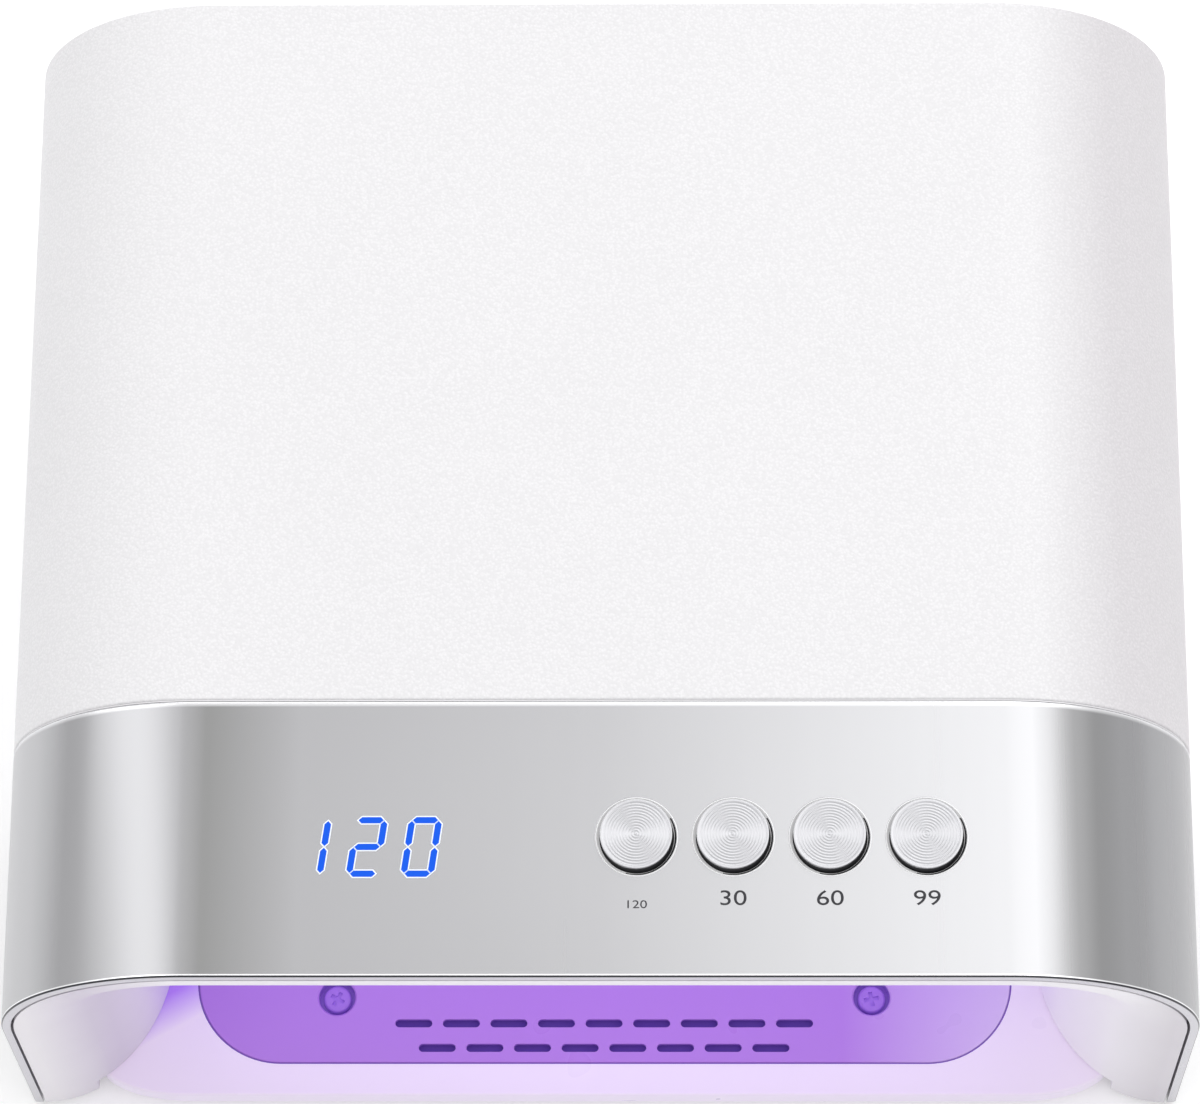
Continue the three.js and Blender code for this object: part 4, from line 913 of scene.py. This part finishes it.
# digits over the display window
digits = {
    "low": 19.5, "tall": 11.7, "lean": math.tan(math.radians(7.6)), "width": 6.28, "bar": 1.22, "gap": 0.17,
    "thick": 0.03, "starts": (-57.51, -46.96, -36.75), "shown": ("bc", "abged", "abcdef"), "halo": 0.23,
    "haloLift": 0.01, "lift": 0.05,
}


def barOutline(middle, start, end, e, side):
    low, high = middle - side * e, middle + side * e
    return [(start, middle), (start + e, low), (end - e, low), (end, middle), (end - e, high), (start + e, high)]


# six-sided bars of one figure, named by the letters a to g from the top bar on
def segmentOutlines(shown):
    w, h, g = digits["width"], digits["tall"], digits["gap"]
    m, e = h / 2, digits["bar"] / 2
    flat = {"a": h - e, "g": m, "d": e}
    upright = {"b": (w - e, m, h), "c": (w - e, 0, m), "f": (e, m, h), "e": (e, 0, m)}
    made = []
    for key in shown:
        if key in flat:
            made.append(barOutline(flat[key], e + g, w - e - g, e, 1))
        else:
            u, low, high = upright[key]
            heel = (e if low == 0 else m) + g
            tip = (m if high == m else h - e) - g
            made.append([(across, up) for up, across in barOutline(u, heel, tip, e, -1)])
    return made


# moves each side of a convex outline outwards by the same distance
def widened(outline, grown):
    sides = []
    for (a, b), (c, d) in zip(outline, outline[1:] + outline[:1]):
        length = math.hypot(c - a, d - b)
        nu, nv = (d - b) / length, (a - c) / length
        sides.append((nu, nv, nu * a + nv * b + grown))
    corners = []
    for (p, q, r), (u, v, w) in zip(sides[-1:] + sides[:-1], sides):
        turn = p * v - q * u
        corners.append(((r * v - q * w) / turn, (p * w - r * u) / turn))
    return corners


def digitMesh(name, grown, lift):
    points, faces = [], []
    for start, shown in zip(digits["starts"], digits["shown"]):
        for outline in segmentOutlines(shown):
            ring = [(start + u + v * digits["lean"], digits["low"] + v) for u, v in widened(outline, grown)]
            n = len(points)
            base = lamp["height"] + lift
            points += [(x, y, base) for x, y in ring] + [(x, y, base + digits["thick"]) for x, y in ring]
            faces += [(n + i, n + (i + 1) % 6, n + (i + 1) % 6 + 6, n + i + 6) for i in range(6)]
            faces += [tuple(n + i for i in range(6))[::-1], tuple(n + i for i in range(6, 12))]
    return meshFrom(name, points, faces)


digitLook = surface("digitLook", {
    "color": "#0C46B4", "rough": 0.55, "specular": 0.15, "grain": 3000, "wear": 0, "glow": ("#1763F5", 0.45),
})
# the halo is a faintly glowing plate round each figure that paints the light the digits spread onto the band
haloLook = surface("haloLook", {
    "color": "#EFF4FF", "rough": 0.4, "grain": 3000, "wear": 0, "glow": ("#EAF0FF", 0.2),
})
finished(digitMesh("digitHalo", digits["halo"], digits["haloLift"]), haloLook, "housing", [])
finished(digitMesh("displayDigits", 0, digits["lift"]), digitLook, "housing", [])

# printed numbers below the buttons
labels = {
    "texts": ("120", "30", "60", "99"), "low": (13.4, 14, 14, 14), "tall": (1.55, 2.9, 2.9, 2.9), "wide": 1.3,
    "lift": 0.015, "figureShare": 0.7, "thick": 0.01, "weld": 0.0005,
}
inkLook = surface("inkLook", {"color": "#2C2C31", "rough": 0.6, "grain": 3000, "wear": 0})
for k, text in enumerate(labels["texts"]):
    curve = bpy.data.curves.new(f"label{k + 1}", "FONT")
    curve.body = text
    curve.align_x = "CENTER"
    curve.size = labels["tall"][k] / labels["figureShare"] / 1000
    curve.extrude = labels["thick"] / 1000
    helper = linked(f"labelText{k + 1}", curve)
    bpy.context.view_layer.update()
    data = shownMesh(helper)
    bpy.data.objects.remove(helper, do_unlink=True)
    data.transform(Matrix.Translation(place(buttonPlaces[k][0], labels["low"][k], lamp["height"] + labels["lift"]))
                   @ Matrix.Diagonal((labels["wide"], 1, 1, 1)))
    label = tidy(linked(f"label{k + 1}", data), labels["weld"])
    finished(label, inkLook, "housing", [])
print("display and labels")

# solids that stay as they are, painted by how their names begin
plain = {
    "black": ("button_carrier", "light_lead", "control_lead", "jack_lead", "fan_", "switch_plunger", "tact_switch"),
    "board": ("control_board", "driver_board", "light_flex"), "display": ("display_module",),
    "steel": ("dc_jack_nut", "tray_keeper", "board_screw"), "magnet": ("tray_magnet",),
}
for name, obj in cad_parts.items():
    if obj.hide_render:
        continue
    look = next(looks[finish] for finish, stems in plain.items() if name.startswith(stems))
    for materialSlot in obj.material_slots:
        materialSlot.material = look
print("carried-over nodes painted")

# floor, world and lights
stage = {"half": 3, "color": (0.95, 0.95, 0.955, 1), "rough": 0.9, "floorLift": 0.2, "sky": 0.69}


# 1 where the camera sees a surface itself, in metal or through glass
def seenDirectly(tree):
    rays = node(tree, "ShaderNodeLightPath").outputs
    mirrored = maths(tree, "MAXIMUM", rays["Is Glossy Ray"], rays["Is Transmission Ray"])
    return maths(tree, "MAXIMUM", rays["Is Camera Ray"], mirrored)


half = stage["half"]
floor = rawMesh("floor", [(-half, -half, 0), (half, -half, 0), (half, half, 0), (-half, half, 0)], [(0, 1, 2, 3)])
floorLook = bpy.data.materials.new("floorLook")
floorLook.use_nodes = True
floorTree = floorLook.node_tree
matt = floorTree.nodes["Principled BSDF"]
feed(floorTree, stage["color"], matt.inputs["Base Color"])
feed(floorTree, stage["rough"], matt.inputs["Roughness"])
lift = node(floorTree, "ShaderNodeEmission", {
    "Strength": maths(floorTree, "MULTIPLY", seenDirectly(floorTree), stage["floorLift"]),
})
both = node(floorTree, "ShaderNodeAddShader", {0: matt.outputs[0], 1: lift.outputs[0]})
feed(floorTree, both.outputs[0], floorTree.nodes["Material Output"].inputs["Surface"])
floor.data.materials.append(floorLook)

world = bpy.data.worlds.new("studio")
bpy.context.scene.world = world
world.use_nodes = True
worldTree = world.node_tree
background = worldTree.nodes["Background"]
whiter = maths(worldTree, "MULTIPLY", seenDirectly(worldTree), 1 - stage["sky"])
feed(worldTree, (1, 1, 1, 1), background.inputs["Color"])
feed(worldTree, maths(worldTree, "ADD", whiter, stage["sky"]), background.inputs["Strength"])

# in metres; a size is across and along
lights = {
    "overhead": {"centre": (0.41, 0.438, 1.49), "aim": (0, 0.05, 0.05), "size": (0.82, 0.93), "radiance": 1.72},
    "leftStrip": {"centre": (-1.077, 0.507, 1.312), "aim": (0, 0, 0.05), "size": (0.62, 1.81), "radiance": 0.75},
    "leftCore": {"centre": (-1.07, 0.504, 1.304), "aim": (0, 0, 0.05), "size": (0.3, 1.7), "radiance": 1.7},
    "rightFill": {"centre": (0.518, -0.23, 0.796), "aim": (0, -0.05, 0.03), "size": (1.63, 0.41), "radiance": 0.8},
    "rearStrip": {"centre": (0.478, 2.873, 1.48), "aim": (0, 0, 0.08), "size": (2.96, 1.5), "radiance": 2.4},
    # what the light beads throw on the tray, which stays in the tunnel when the tray slides out
    "tunnelGlow": {"centre": place(0, 38, 61), "aim": place(0, 38, 0), "size": (0.17, 0.05), "radiance": 1.25,
                   "color": (0.94, 0.9, 1)},
}
for name, spec in lights.items():
    data = bpy.data.lights.new(name, "AREA")
    data.shape = "RECTANGLE"
    across, along = spec["size"]
    data.size, data.size_y = across, along
    data.energy = spec["radiance"] * math.pi ** 2 / 4 * across * along
    data.color = spec.get("color", (1, 1, 1))
    lamplight = linked(name, data)
    lamplight.visible_camera = False
    lamplight.location = spec["centre"]
    lamplight.rotation_euler = (Vector(spec["aim"]) - Vector(spec["centre"])).to_track_quat("-Z", "Y").to_euler()
print("stage and lights")
